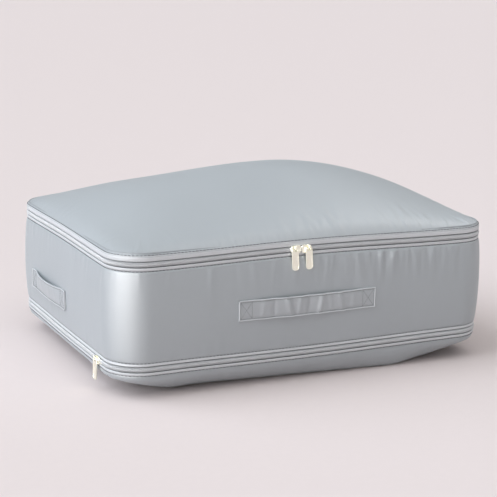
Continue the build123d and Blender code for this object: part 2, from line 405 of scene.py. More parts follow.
@dataclass(frozen=True)
class PaperFinish(Finish):
    """Matt backdrop paper.

    Attributes:
        light: Linear colour of its lighter fibres.
    """

    light: tuple[float, float, float]

    def _lay(self, sheet: NodeSheet, shader: bpy.types.Node) -> None:
        """Lays the fibres' two colours.

        Args:
            sheet: Lays nodes into the material.
            shader: The material's shader.
        """
        grain = sheet.noise(sheet.add("ShaderNodeTexCoord").outputs["Object"], 120.0, 4.0, 0.6)
        color = sheet.blend(grain, (*self.color, 1), (*self.light, 1))
        sheet.fill(shader, {"Base Color": color, "Roughness": 0.9, "Specular IOR Level": 0.1})


SATIN = ClothFinish("satin_nylon", (0.395, 0.43, 0.455), roughness=(0.48, 0.58), gloss=0.9, stretch=0.3)
STRAP_CLOTH = ClothFinish(
    "strap_nylon", (0.42, 0.45, 0.475), thread=0.0005, roughness=(0.42, 0.52), gloss=0.85
)
STRAP_THREAD = ClothFinish("strap_thread", (0.25, 0.27, 0.285), thread=0.0003)
# The folded edges of a strap get a lighter copy of the strap's cloth: a painted highlight where the raised
# edge catches the light.
LIT_EDGE_CLOTH = ClothFinish("folded_edge_painted_highlight", (0.60, 0.63, 0.655), thread=0.0004, gloss=0.8)
TAPE_CLOTH = ClothFinish(
    "zip_tape_knit", (0.65, 0.675, 0.70), thread=0.0007, rib=1.6, bump=0.00008, roughness=(0.45, 0.6)
)
BINDING_CLOTH = ClothFinish(
    "bias_binding", (0.33, 0.355, 0.38), thread=0.0006, rib=2.0, bump=0.00008, roughness=(0.55, 0.7)
)
GUSSET_CLOTH = ClothFinish("gusset_nylon", (0.35, 0.38, 0.41))
# Near-black thread: painted shade. The real stitches match the cloth; they look dark because they lie in
# shadowed crevices and grooves.
DARK_SHADE_THREAD = ClothFinish(
    "thread_painted_shade", (0.13, 0.14, 0.15), thread=0.0003, bump=0.00004, roughness=(0.5, 0.65), variation=0.12
)
COIL_NYLON = ClothFinish(
    "coil_nylon", (0.66, 0.68, 0.70), thread=0.0004, bump=0.00001, roughness=(0.3, 0.42), sheen=0.0
)
# The second colour lightens raised edges: rubbed plating and a painted highlight.
GOLD = MetalFinish("champagne_gold", (0.88, 0.855, 0.70), (0.95, 0.945, 0.85))
PAPER = PaperFinish("floor_paper", (0.725, 0.650, 0.640), (0.748, 0.670, 0.660))


# ---- the case's plan outline --------------------------------------------------------------------
@dataclass
class Outline:
    """The rounded rectangle that both zips follow, walked from the middle of the back.

    The walk goes left along the back, forward down the left side, right along the front and back
    up the right side. Lengths are in millimetres.

    Attributes:
        half_length: Half of the size along X.
        half_depth: Half of the size along Y.
        radius: Corner radius.
        side_arch: Height of the short sides' arch, where the long sides' is 1.
        runs: Kind, length, origin, heading and middle of each straight run and corner.
        starts: Where each run starts along the walk, and the end of the last.
        total: Length of the walk.
    """

    half_length: float
    half_depth: float
    radius: float
    side_arch: float = 0.45
    runs: list[tuple] = field(init=False)
    starts: np.ndarray = field(init=False)
    total: float = field(init=False)

    def __post_init__(self) -> None:
        """Works out the straight runs and corners, and the length of the walk."""
        x = self.half_length - self.radius
        y = self.half_depth - self.radius
        a, b = self.half_length, self.half_depth
        quarter = math.pi / 2
        self.runs = [
            ("line", x, (0, b), (-1, 0), 0.0),
            ("turn", self.radius * quarter, (-x, y), quarter, None),
            ("line", 2 * y, (-a, y), (0, -1), y),
            ("turn", self.radius * quarter, (-x, -y), 2 * quarter, None),
            ("line", 2 * x, (-x, -b), (1, 0), x),
            ("turn", self.radius * quarter, (x, -y), 3 * quarter, None),
            ("line", 2 * y, (a, -y), (0, 1), y),
            ("turn", self.radius * quarter, (x, y), 0.0, None),
            ("line", x, (x, b), (-1, 0), x),
        ]
        lengths = [run[1] for run in self.runs]
        self.starts = np.concatenate([[0.0], np.cumsum(lengths)])
        self.total = float(self.starts[-1])

    @property
    def front_middle(self) -> float:
        """Where the middle of the front lies along the walk."""
        return self.starts[4] + self.half_length - self.radius

    def walk(self, s: np.ndarray, outset: np.ndarray) -> tuple[np.ndarray, np.ndarray]:
        """Finds points on the outline.

        Args:
            s: Distances along the walk.
            outset: How far each point stands outside the outline.

        Returns:
            The points (n, 2), and how far each lies up its side's arch, 0 at a corner to 1 mid-side.
        """
        s = np.mod(np.asarray(s, float), self.total)
        outset = np.broadcast_to(outset, s.shape)
        points = np.zeros((*s.shape, 2))
        arch = np.zeros(s.shape)
        for index, (kind, length, origin, heading, middle) in enumerate(self.runs):
            here = (s >= self.starts[index]) & (s < self.starts[index + 1] + 1e-9)
            step = s[here] - self.starts[index]
            if kind == "line":
                along = np.array(heading, float)
                normal = np.array((along[1], -along[0]))
                points[here] = origin + step[:, None] * along + outset[here][:, None] * normal
                half = max(length / 2, middle) if middle else length
                arch[here] = np.cos((step - middle) / half * math.pi / 2) ** 2
                if heading[0] == 0:
                    arch[here] *= self.side_arch
            else:
                angle = heading + step / self.radius
                reach = (self.radius + outset[here])[:, None]
                points[here] = origin + reach * np.stack([np.cos(angle), np.sin(angle)], axis=1)
        return points, arch

    def nearest(self, x: np.ndarray, y: np.ndarray) -> tuple[np.ndarray, np.ndarray]:
        """Finds how far points inside lie from the outline, and where along the walk.

        Args:
            x: Point positions along X.
            y: Point positions along Y.

        Returns:
            The distances along the walk, and the depths inside the outline.
        """
        cx = self.half_length - self.radius
        cy = self.half_depth - self.radius
        qx, qy = np.abs(x) - cx, np.abs(y) - cy
        corner = (qx > 0) & (qy > 0)
        to_side = self.half_length - np.abs(x)
        to_front = self.half_depth - np.abs(y)
        depth = np.where(corner, self.radius - np.hypot(qx, qy), np.minimum(to_side, to_front))
        on_side = ~corner & (to_side < to_front)
        back = ~corner & ~on_side & (y > 0)
        front = ~corner & ~on_side & (y <= 0)
        s = np.zeros_like(x)
        s[back] = np.mod(-x[back], self.total)
        s[front] = self.starts[4] + x[front] + cx
        left = on_side & (x < 0)
        right = on_side & (x >= 0)
        s[left] = self.starts[2] + cy - y[left]
        s[right] = self.starts[6] + y[right] + cy
        angle = np.mod(np.arctan2(np.sign(y) * qy, np.sign(x) * qx), 2 * math.pi)
        for index in (1, 3, 5, 7):
            heading = self.runs[index][3]
            turned = np.mod(angle - heading, 2 * math.pi)
            here = corner & (turned <= math.pi / 2 + 1e-6)
            s[here] = self.starts[index] + turned[here] * self.radius
        return s, depth


def _millimetres(node: str) -> tuple[np.ndarray, np.ndarray]:
    """The lowest and highest corner of a CAD node, in millimetres."""
    low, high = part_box(node)
    return np.array(low) / MM, np.array(high) / MM


CORNER_RADIUS = 34.0
COIL_STAND = 0.8         # how far the coil stands outside the outline


@dataclass
class CaseSizes:
    """Sizes that every sub-assembly shares, read from the CAD frame, in millimetres.

    Attributes:
        outline: Plan outline of both zips.
        skin_outset: How far the cloth stands outside it at the seams.
        lid_zip: Height of the lid zip's line.
        low_zip: Height of the expander zip's line.
        lid_seam: Height of the lid's seam.
        wall_head: Height of the wall's upper seam.
        wall_foot: Height of the wall's lower seam.
        bottom_seam: Height of the bottom's seam.
        top: Height of the lid's crest.
        back_half: Half the width of the back panel.
        bulge: How far the wall swells outside the outline.
        lid_arch: How far the lid zip drops towards the corners.
        low_sag: How far the expander zip sags between the corners.
    """

    outline: Outline
    skin_outset: float
    lid_zip: float
    low_zip: float
    lid_seam: float
    wall_head: float
    wall_foot: float
    bottom_seam: float
    top: float
    back_half: float
    bulge: float
    lid_arch: float = 2.4
    low_sag: float = 1.2

    @classmethod
    def from_frame(cls) -> "CaseSizes":
        """Reads the sizes from the CAD nodes."""
        lid_low, lid_high = _millimetres("lid_panel")
        wall_low, wall_high = _millimetres("side_wall")
        upper_low, _ = _millimetres("lid_zip_coil_upper")
        _, lower_high = _millimetres("lid_zip_coil_lower")
        low_low, _ = _millimetres("expander_coil_upper")
        _, coil_high = _millimetres("expander_coil_lower")
        _, back_high = _millimetres("back_panel")
        _, bottom_high = _millimetres("bottom_panel")
        half_length = coil_high[0] - COIL_STAND
        return cls(
            outline=Outline(half_length, coil_high[1] - COIL_STAND, CORNER_RADIUS),
            skin_outset=lid_high[0] - coil_high[0] + COIL_STAND,
            lid_zip=(upper_low[2] + lower_high[2]) / 2,
            low_zip=(low_low[2] + coil_high[2]) / 2,
            lid_seam=lid_low[2],
            wall_head=wall_high[2],
            wall_foot=wall_low[2],
            bottom_seam=bottom_high[2],
            top=lid_high[2],
            back_half=back_high[0],
            bulge=wall_high[0] - half_length,
        )

    @property
    def face(self) -> Outline:
        """The outline of the cloth at the seams."""
        line, out = self.outline, self.skin_outset
        return Outline(line.half_length + out, line.half_depth + out, line.radius + out)

    def lid_line(self, arch: np.ndarray) -> np.ndarray:
        """Height of the lid zip, which dips at the corners."""
        return self.lid_zip - self.lid_arch * (1 - arch)

    def low_line(self, arch: np.ndarray) -> np.ndarray:
        """Height of the expander zip, which sags between the corners."""
        return self.low_zip - self.low_sag * arch


# ---- meshes -------------------------------------------------------------------------------------
@dataclass
class Piece:
    """One mesh being made, in millimetres, with cloth coordinates in metres.

    Attributes:
        name: The object's name.
        points: Vertex positions (n, 3).
        faces: Vertex indices of each face.
        cloth: Cloth coordinates of each face corner, in the order of faces.
    """

    name: str
    points: np.ndarray
    faces: list[tuple[int, ...]]
    cloth: Optional[np.ndarray] = None

    @classmethod
    def grid(cls, name: str, points: np.ndarray, cloth: np.ndarray, closed: bool = False) -> "Piece":
        """Makes a piece from a grid of points.

        Args:
            name: The object's name.
            points: Grid of points (rows, columns, 3).
            cloth: Cloth coordinates from grid_cloth.
            closed: Whether each row closes on itself.

        Returns:
            The piece.
        """
        faces = quad_grid(points.shape[0], points.shape[1], closed).tolist()
        return cls(name, points.reshape(-1, 3), faces, cloth)

    @classmethod
    def joined(cls, name: str, parts: Sequence[tuple[np.ndarray, list]]) -> "Piece":
        """Makes one piece from the points and faces of several parts.

        Args:
            name: The object's name.
            parts: Points and faces of each part.

        Returns:
            The piece.
        """
        faces, count = [], 0
        for points, part_faces in parts:
            faces += [tuple(index + count for index in face) for face in part_faces]
            count += len(points)
        return cls(name, np.concatenate([points for points, _ in parts]), faces)

    def build(
        self, finish: Finish, slot: Slot, replaced: Sequence[str] = (), body: Optional[Body] = None
    ) -> bpy.types.Object:
        """Turns the arrays into a Blender object.

        Args:
            finish: The finish whose material it takes.
            slot: The record's material slot; not used.
            replaced: The CAD nodes that it stands for.
            body: The body it rides on, if any.

        Returns:
            The object.
        """
        mesh = bpy.data.meshes.new(self.name)
        mesh.from_pydata((self.points * MM).tolist(), [], self.faces)
        layer = mesh.uv_layers.new(name="cloth")
        if self.cloth is not None:
            layer.data.foreach_set("uv", np.asarray(self.cloth, np.float32).ravel())
        mesh.polygons.foreach_set("use_smooth", [True] * len(mesh.polygons))
        mesh.update()
        thing = bpy.data.objects.new(self.name, mesh)
        bpy.context.scene.collection.objects.link(thing)
        thing.data.materials.append(finish.build())
        if replaced:
            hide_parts(*replaced)
        if body:
            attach(thing, body.value)
        LOG.info("%s: %d points", self.name, len(self.points))
        return thing


def quad_grid(rows: int, columns: int, closed: bool) -> np.ndarray:
    """Faces of a grid of points held row by row.

    Args:
        rows: Rows of points.
        columns: Points in a row.
        closed: Whether each row closes on itself.

    Returns:
        Vertex indices (faces, 4).
    """
    across = columns if closed else columns - 1
    row, column = np.meshgrid(np.arange(rows - 1), np.arange(across), indexing="ij")
    after = (column + 1) % columns
    first = row * columns + column
    second = row * columns + after
    return np.stack([first, second, second + columns, first + columns], axis=-1).reshape(-1, 4)


def grid_cloth(s: np.ndarray, t: np.ndarray, closed: bool, total: float) -> np.ndarray:
    """Cloth coordinates for the corners of quad_grid's faces, in metres.

    Args:
        s: Distance along the row of each column.
        t: Distance across of each row.
        closed: Whether each row closes on itself.
        total: Length of a closed row.

    Returns:
        Coordinates (faces, 4, 2).
    """
    ends = np.append(s, total) if closed else s
    row, column = np.meshgrid(np.arange(len(t) - 1), np.arange(len(ends) - 1), indexing="ij")
    u0, u1 = ends[column], ends[column + 1]
    v0, v1 = t[row], t[row + 1]
    corners = [(u0, v0), (u1, v0), (u1, v1), (u0, v1)]
    return np.stack([np.stack(c, axis=-1) for c in corners], axis=2).reshape(-1, 4, 2) * MM


@dataclass
class Wrapped:
    """Makes pieces in the case's own terms: along the walk, outward and up from a zip line."""

    outline: Outline
    line: Callable[[np.ndarray], np.ndarray]

    def place(self, s: np.ndarray, out: np.ndarray, rise: np.ndarray) -> np.ndarray:
        """Turns (along, outward, rise) into points in space.

        Args:
            s: Distances along the walk.
            out: Distances outside the outline.
            rise: Heights above the zip line.

        Returns:
            The points, with a last axis of 3.
        """
        flat, arch = self.outline.walk(s, out)
        return np.concatenate([flat, (self.line(arch) + rise)[..., None]], axis=-1)

    def ribbon(
        self, name: str, section: Sequence[tuple[float, float]], start: float, end: float, step: float
    ) -> Piece:
        """Sweeps an open or folded section of cloth along the walk.

        Args:
            name: The piece's name.
            section: Points of the section, as (outward, rise).
            start: Where the ribbon starts along the walk.
            end: Where it ends; a full turn makes it closed.
            step: Distance between points along the walk.

        Returns:
            The piece.
        """
        closed = abs(end - start - self.outline.total) < 1e-6
        count = int((end - start) / step)
        s = start + (end - start) * np.arange(count) / (count if closed else count - 1)
        shape = np.array(section, float)
        t = np.concatenate([[0.0], np.cumsum(np.hypot(*np.diff(shape, axis=0).T))])
        along, out = np.meshgrid(s, shape[:, 0])
        _, rise = np.meshgrid(s, shape[:, 1])
        return Piece.grid(name, self.place(along, out, rise), grid_cloth(s, t, closed, end), closed)

    def repeated(
        self, name: str, path: Sequence[tuple[float, float, float]], radius: float, stations: np.ndarray,
        rises: float = 0.0, sides: int = 6
    ) -> Piece:
        """Repeats one short bent thread at many stations along the walk.

        Args:
            name: The piece's name.
            path: The thread's path, as (along, outward, rise).
            radius: Thread radius.
            stations: Where each copy sits along the walk.
            rises: Height of every copy above the zip line.
            sides: Sides of the thread.

        Returns:
            The piece.
        """
        local, faces = thread_tube(np.array(path, float), radius, sides)
        s = stations[:, None] + local[None, :, 0]
        out = np.broadcast_to(local[None, :, 1], s.shape)
        rise = np.broadcast_to(local[None, :, 2] + rises, s.shape)
        points = self.place(s, out, rise).reshape(-1, 3)
        shifts = np.arange(len(stations)) * len(local)
        all_faces = [tuple(i + shift for i in face) for shift in shifts.tolist() for face in faces]
        return Piece(name, points, all_faces)


def thread_tube(path: np.ndarray, radius: float, sides: int) -> tuple[np.ndarray, list[tuple[int, ...]]]:
    """A round closed tube along a short path.

    Args:
        path: Points of the path (n, 3).
        radius: Tube radius.
        sides: Number of sides.

    Returns:
        The points, and the faces.
    """
    tangent = np.gradient(path, axis=0)
    tangent /= np.linalg.norm(tangent, axis=1)[:, None]
    spare = np.array((0.3, 0.5, 0.81)) if abs(tangent[0][2]) < 0.7 else np.array((0.81, 0.5, 0.3))
    first = np.cross(tangent, spare)
    first /= np.linalg.norm(first, axis=1)[:, None]
    second = np.cross(tangent, first)
    angles = np.arange(sides) / sides * 2 * math.pi
    taper = np.full(len(path), radius)
    taper[0] = taper[-1] = radius * 0.55
    ring = np.cos(angles)[None, :, None] * first[:, None] + np.sin(angles)[None, :, None] * second[:, None]
    points = (path[:, None] + ring * taper[:, None, None]).reshape(-1, 3)
    faces = [tuple(f) for f in quad_grid(len(path), sides, True).tolist()]
    last = (len(path) - 1) * sides
    faces.append(tuple(range(sides - 1, -1, -1)))
    faces.append(tuple(range(last, last + sides)))
    return points, faces


@dataclass
class Creases:
    """Short folds that run into a panel from one of its seams.

    Attributes:
        total: Length of the seam.
        seed: Seed of the random draw.
        count: Number of folds.
        depth: Height of the strongest fold, in millimetres.
        length: Shortest and longest fold.
        width: Narrowest and widest fold.
        lean: Largest sideways run of a fold, per unit of its length.
        crowd: Places along the seam where folds gather, as (place, spread, share).
    """

    total: float
    seed: int
    count: int
    depth: float
    length: tuple[float, float]
    width: tuple[float, float]
    lean: float = 0.25
    crowd: Sequence[tuple[float, float, float]] = ()

    def lift(self, s: np.ndarray, depth: np.ndarray) -> np.ndarray:
        """How far the folds lift the cloth.

        Args:
            s: Distances along the seam.
            depth: Distances from the seam into the panel.

        Returns:
            Lift at each point, in millimetres.
        """
        draw = np.random.default_rng(self.seed)
        places = draw.uniform(0, self.total, self.count)
        strengths = draw.uniform(0.15, 0.55, self.count)
        chosen = 0
        for place, spread, share in self.crowd:
            number = int(share * self.count)
            places[chosen:chosen + number] = draw.normal(place, spread, number)
            strengths[chosen:chosen + number] = draw.uniform(0.5, 1.0, number)
            chosen += number
        lengths = draw.uniform(*self.length, self.count)
        widths = draw.uniform(*self.width, self.count)
        leans = draw.uniform(-self.lean, self.lean, self.count)
        total = np.zeros_like(s)
        for place, strength, length, width, lean in zip(places, strengths, lengths, widths, leans):
            away = np.mod(s - place - lean * depth + self.total / 2, self.total) - self.total / 2
            near = (np.abs(away) < 4 * width) & (depth < 2.6 * length)
            across = away[near] / (width * (1 + 0.5 * depth[near] / length))
            shape = (1 - 1.2 * across ** 2) * np.exp(-across ** 2)
            fade = np.exp(-(depth[near] / length) ** 2)
            total[near] += strength * self.depth * shape * fade
        return total


def fading(distance: np.ndarray, reach: float) -> np.ndarray:
    """Falls from 1 at a seam towards 0, most of it within the reach."""
    return np.exp(-distance / reach)


def growing(distance: np.ndarray, reach: float) -> np.ndarray:
    """Grows from 0 at a seam towards 1, most of it within the reach."""
    return 1 - np.exp(-distance / reach)


def bell(distance: np.ndarray, width: float) -> np.ndarray:
    """1 at no distance, falling to 0 both ways within about two widths."""
    return np.exp(-(distance / width) ** 2)


def dense_ends(count: int, power: float = 1.7) -> np.ndarray:
    """Positions from 0 to 1 that crowd towards both ends."""
    t = np.linspace(-1, 1, count)
    return (np.sign(t) * (1 - (1 - np.abs(t)) ** power) + 1) / 2


def skin(thing: bpy.types.Object, thickness: float) -> None:
    """Gives a cloth sheet its thickness, inwards.

    Args:
        thing: The sheet.
        thickness: Its thickness, in millimetres.
    """
    solid = thing.modifiers.new("thickness", "SOLIDIFY")
    solid.thickness = thickness * MM
    solid.offset = -1.0


# ---- sub-assemblies -----------------------------------------------------------------------------
@dataclass
class ClothPart:
    """A part of the case cut from the shell or hinge cloth.

    Attributes:
        sizes: The case's sizes.
        cloth_thickness: Thickness of the cloth.
    """

    sizes: CaseSizes
    cloth_thickness: float = 0.7


@dataclass
class SeamPart:
    """A part that follows one seam or zip round the case.

    Attributes:
        name: The piece's name, or the start of its pieces' names.
        wrap: Places it round the case.
    """

    name: str
    wrap: Wrapped


@dataclass
class LidPanel(ClothPart):
    """The stuffed, domed lid, one piece of cloth gathered into its seam.

    Attributes:
        crown: Where along X the dome is highest.
        ridge: How broadly the crest is rounded across.
        left_fall: Two powers that shape the dome's fall to the left end.
        right_fall: The same to the right end.
        side_fall: The same to the front and back.
        fullness: Share of the full height that the dome reaches.
        left_fill: Height, place and width of the fuller left end.
        rim_fill: Height, rise and fade of the fuller roll above the seam.
        slack: Height of the slow waves in the cloth.
        columns: Points along each row.
        rows: Rows of points, from front to back.
        seam_dip: Depth of the groove along the seam.
    """

    crown: float = 42.0
    ridge: float = 16.0
    left_fall: tuple[float, float] = (1.9, 0.72)
    right_fall: tuple[float, float] = (1.8, 0.8)
    side_fall: tuple[float, float] = (1.35, 0.72)
    fullness: float = 0.975
    left_fill: tuple[float, float, float] = (3.8, -135.0, 48.0)
    rim_fill: tuple[float, float, float] = (2.0, 7.0, 38.0)
    slack: float = 0.5
    columns: int = 300
    rows: int = 230
    seam_dip: float = 1.2

    def height(self, x: np.ndarray, y: np.ndarray) -> np.ndarray:
        """Height of the dome at points in plan, with its folds.

        Args:
            x: Positions along X.
            y: Positions along Y.

        Returns:
            Heights in millimetres.
        """
        sizes = self.sizes
        edge = sizes.face
        s, depth = edge.nearest(x, y)
        depth = np.maximum(depth, 0.0)
        _, arch = edge.walk(s, np.zeros_like(s))
        seam = sizes.lid_line(arch) + sizes.lid_seam - sizes.lid_zip
        rest = sizes.lid_seam - sizes.lid_arch
        base = rest + (seam - rest) * fading(depth, 45.0)

        left = np.clip((self.crown - x) / (edge.half_length + self.crown), 0, 1)
        right = np.clip((x - self.crown) / (edge.half_length - self.crown), 0, 1)
        across = np.hypot(y, self.ridge) - self.ridge
        side = np.clip(across / (math.hypot(edge.half_depth, self.ridge) - self.ridge), 0, 1)
        along = (1 - left ** self.left_fall[0]) ** self.left_fall[1]
        along = along * (1 - right ** self.right_fall[0]) ** self.right_fall[1]
        dome = self.fullness * along * (1 - side ** self.side_fall[0]) ** self.side_fall[1]

        gain, place, width = self.left_fill
        stuffed = gain * bell(x - place, width) * (1 - side ** 2)
        gain, rise, fade = self.rim_fill
        stuffed += gain * growing(depth, rise) * fading(depth, fade)
        full = ((sizes.top - rest) * dome + stuffed) * growing(depth, 3.0)

        slack = self.slack * np.sin(x / 37.0 + 0.8) * np.sin(y / 31.0) * np.clip(depth / 30, 0, 1)
        puckers = self._puckers(edge).lift(s, depth) * growing(depth, 2.0)
        folds = self._folds(edge).lift(s, depth) * growing(depth, 3.0)
        return base + full + slack + puckers + folds - self.seam_dip * bell(depth, 0.8)

    def _puckers(self, edge: Outline) -> Creases:
        """Short puckers right at the seam, strongest at the front right.

        Args:
            edge: The lid's outline at its seam.

        Returns:
            The folds.
        """
        front = edge.front_middle
        return Creases(
            edge.total, seed=11, count=300, depth=0.42, length=(5, 15), width=(1.0, 2.1), lean=0.22,
            crowd=((front + 35, 50, 0.3), (front + 130, 25, 0.1), (edge.starts[5] + 26, 16, 0.05)),
        )

    def _folds(self, edge: Outline) -> Creases:
        """Longer soft folds that run up the dome.

        Args:
            edge: The lid's outline at its seam.

        Returns:
            The folds.
        """
        front = edge.front_middle
        return Creases(
            edge.total, seed=5, count=70, depth=0.62, length=(16, 38), width=(2.0, 4.0), lean=0.4,
            crowd=((front + 40, 40, 0.28), (front + 135, 22, 0.16)),
        )

    def build(self) -> list[bpy.types.Object]:
        """Builds the lid's skin as a grid whose rows run from edge to edge."""
        edge = self.sizes.face
        y = (dense_ends(self.rows) * 2 - 1) * edge.half_depth
        inset = np.maximum(np.abs(y) - (edge.half_depth - edge.radius), 0)
        reach = edge.half_length - edge.radius + np.sqrt(np.maximum(edge.radius ** 2 - inset ** 2, 0))
        spread = dense_ends(self.columns) * 2 - 1
        x = spread[None, :] * reach[:, None]
        y = np.broadcast_to(y[:, None], x.shape)
        points = np.stack([x, y, self.height(x, y)], axis=-1)
        cloth = grid_cloth(spread * edge.half_length, y[:, 0], False, 0.0)
        piece = Piece.grid("lid_skin", points, cloth)
        thing = piece.build(SATIN, Slot.SHELL, ["lid_panel"], Body.LID)
        skin(thing, self.cloth_thickness)
        return [thing]


@dataclass
class WallPanels(ClothPart):
    """The upright wall: one strip round three sides, and the back panel.

    Attributes:
        rows: Rows of points, from foot to head.
        step: Distance between points along the walk.
        seam_dip: Depth of the grooves along the seams.
        swell_power: How squarely the wall swells between its seams.
        calm: Share of the folds lost beside the zip pulls, where along the front, and how widely.
    """

    rows: int = 60
    step: float = 1.6
    seam_dip: float = 0.8
    swell_power: float = 0.8
    calm: tuple[float, float, float] = (0.75, -16.0, 17.0)

    def _surface(self, s: np.ndarray, t: np.ndarray) -> np.ndarray:
        """Points of the wall's outer face.

        Args:
            s: Distances along the walk.
            t: Shares of the way from the foot to the head.

        Returns:
            Points with a last axis of 3.
        """
        sizes = self.sizes
        _, arch = sizes.outline.walk(s, np.zeros_like(s))
        foot = sizes.low_line(arch) + sizes.wall_foot - sizes.low_zip
        head = sizes.lid_line(arch) + sizes.wall_head - sizes.lid_zip
        height = head - foot
        from_head = (1 - t) * height
        from_foot = t * height
        front = sizes.outline.front_middle
        total = sizes.outline.total
        head_folds = Creases(
            total, seed=23, count=230, depth=0.85, length=(7, 26), width=(1.9, 4.2), lean=0.15,
            crowd=((front + 60, 45, 0.25), (front - 14, 12, 0.06), (front + 130, 28, 0.1)),
        )
        foot_folds = Creases(
            total, seed=31, count=150, depth=0.5, length=(6, 18), width=(2.2, 5.0), lean=0.2
        )
        long_folds = Creases(
            total, seed=43, count=40, depth=0.5, length=(26, 50), width=(6.0, 12.0), lean=0.12,
            crowd=((front + 50, 40, 0.2),),
        )
        swell = (sizes.bulge - sizes.skin_outset) * (4 * t * (1 - t)) ** self.swell_power
        share, place, width = self.calm
        calm = 1 - share * bell(s - front - place, width)
        out = sizes.skin_outset + swell
        out += head_folds.lift(s, from_head) * growing(from_head, 2.5) * calm
        out += foot_folds.lift(s, from_foot) * growing(from_foot, 2.5)
        out += long_folds.lift(s, from_head) * growing(from_head, 4.0)
        out -= self.seam_dip * (bell(from_head, 0.7) + bell(from_foot, 0.7))
        flat, _ = sizes.outline.walk(s, out)
        return np.concatenate([flat, (foot + from_foot)[..., None]], axis=-1)

    def _panel(self, name: str, start: float, end: float, node: str) -> bpy.types.Object:
        """Builds one panel of the wall.

        Args:
            name: The piece's name.
            start: Where it starts along the walk.
            end: Where it ends.
            node: The CAD node it stands for.

        Returns:
            The panel.
        """
        s = np.linspace(start, end, int((end - start) / self.step))
        t = dense_ends(self.rows, 1.5)
        height = self.sizes.wall_head - self.sizes.wall_foot
        piece = Piece.grid(name, self._surface(*np.meshgrid(s, t)), grid_cloth(s, t * height, False, 0.0))
        thing = piece.build(SATIN, Slot.SHELL, [node], Body.WALL)
        skin(thing, self.cloth_thickness)
        return thing

    def build(self) -> list[bpy.types.Object]:
        """Builds the wrap-round strip and the back panel."""
        half = self.sizes.back_half
        total = self.sizes.outline.total
        return [
            self._panel("wall_skin", half, total - half, "side_wall"),
            self._panel("back_skin", -half, half, "back_panel"),
        ]


@dataclass
class BottomPanel(ClothPart):
    """The stuffed bottom, curving under from its seam to a flat patch on the floor.

    Attributes:
        step: Distance between points along the walk.
        rows: Rows of points, from the seam to the middle.
        rim: Depth of the upright rim below the seam.
        front_reach: How far in from the long sides the bottom meets the floor.
        end_reach: The same from the ends.
        end_share: Where, along half the length, the ends' reach starts.
        full_start: Where along X the front starts to be fuller.
        full_place: Where it is fullest.
        full_end: Where that ends.
        full_gain: How much less the reach is there.
        spine: Half the length of the line that the rows run in to.
        seam_dip: Depth of the groove along the seam.
    """

    step: float = 1.8
    rows: int = 70
    rim: float = 4.0
    front_reach: float = 40.0
    end_reach: float = 82.0
    end_share: float = 0.72
    full_start: float = -125.0
    full_place: float = 92.0
    full_end: float = 165.0
    full_gain: float = 26.0
    spine: float = 80.0
    seam_dip: float = 1.2

    def _reach(self, plan: np.ndarray) -> np.ndarray:
        """How far in from its seam the bottom meets the floor at each place in plan.

        Args:
            plan: Places on the seam, with a last axis of 2.

        Returns:
            The distances.
        """
        x, y = plan[..., 0], plan[..., 1]
        share = np.abs(x) / self.sizes.outline.half_length
        share = np.clip((share - self.end_share) / (1 - self.end_share), 0, 1)
        share = share * share * (3 - 2 * share)
        front = np.clip(-y / self.sizes.outline.half_depth, 0, 1) ** 4
        grown = np.clip((x - self.full_start) / (self.full_place - self.full_start), 0, 1)
        faded = np.clip((self.full_end - x) / (self.full_end - self.full_place), 0, 1)
        full = self.full_gain * front * grown * faded * faded * (3 - 2 * faded)
        return self.front_reach - full + (self.end_reach - self.front_reach) * share

    def build(self) -> list[bpy.types.Object]:
        """Builds the bottom's skin from its seam in to the middle."""
        sizes = self.sizes
        outline = sizes.outline
        count = int(outline.total / self.step)
        s = outline.total * np.arange(count) / count
        t = np.linspace(0, 1, self.rows) ** 2.2
        along, share = np.meshgrid(s, t)
        flat, arch = outline.walk(along, np.full(along.shape, sizes.skin_outset))
        spine = np.clip(flat[..., 0], -self.spine, self.spine)
        inner = np.stack([spine, np.zeros_like(spine)], axis=-1)
        depth = share * np.hypot(*(inner - flat).transpose(2, 0, 1))
        tucked, _ = outline.walk(along, sizes.skin_outset - self.seam_dip * bell(depth, 0.6))
        plan = tucked + (inner - flat) * share[..., None]
        seam = sizes.low_line(arch) + sizes.bottom_seam - sizes.low_zip
        roll = np.clip(1 - depth / self._reach(flat), 0, 1)
        z = (seam - self.rim) * roll ** 2 + self.rim * bell(depth, 1.6)
        folds = Creases(
            outline.total, seed=57, count=170, depth=0.6, length=(6, 20), width=(2.2, 5.0), lean=0.3
        )
        z += folds.lift(along, depth) * growing(depth, 2.0) * roll
        points = np.concatenate([plan, np.maximum(z, 0.0)[..., None]], axis=-1)
        faces = quad_grid(self.rows, count, True)[:, ::-1]
        cloth = grid_cloth(s, t * outline.half_depth, True, outline.total)[:, ::-1]
        piece = Piece("bottom_skin", points.reshape(-1, 3), faces.tolist(), cloth)
        thing = piece.build(SATIN, Slot.SHELL, ["bottom_panel"], Body.BASE)
        shell = bmesh.new()
        shell.from_mesh(thing.data)
        bmesh.ops.remove_doubles(shell, verts=shell.verts, dist=0.05 * MM)
        shell.to_mesh(thing.data)
        shell.free()
        skin(thing, self.cloth_thickness)
        return [thing]


# Section of a zip tape: (outward, distance in from its seam), then (outward, distance from the zip line).
TAPE_SEAM = ((-0.7, 0.0), (0.1, 0.35), (0.6, 0.8), (0.82, 1.8))
TAPE_FACE = (
    (0.82, 3.6), (0.72, 3.2), (0.4, 3.1), (-0.75, 3.05), (-0.85, 2.4), (-0.6, 2.2), (-0.3, 1.5), (-0.3, 0.5),
    (-0.9, 0.5), (-0.95, 2.3),
)
# Paths of one coil tooth and of one stitch beside the coil, as (along, outward, rise).
TOOTH_PATH = (
    (0.0, -0.4, 1.75), (0.0, 0.35, 1.72), (0.0, 0.66, 1.3), (0.0, 0.72, 0.5), (0.0, 0.6, -0.2),
    (0.0, 0.2, -0.4), (0.15, -0.2, -0.1),
)
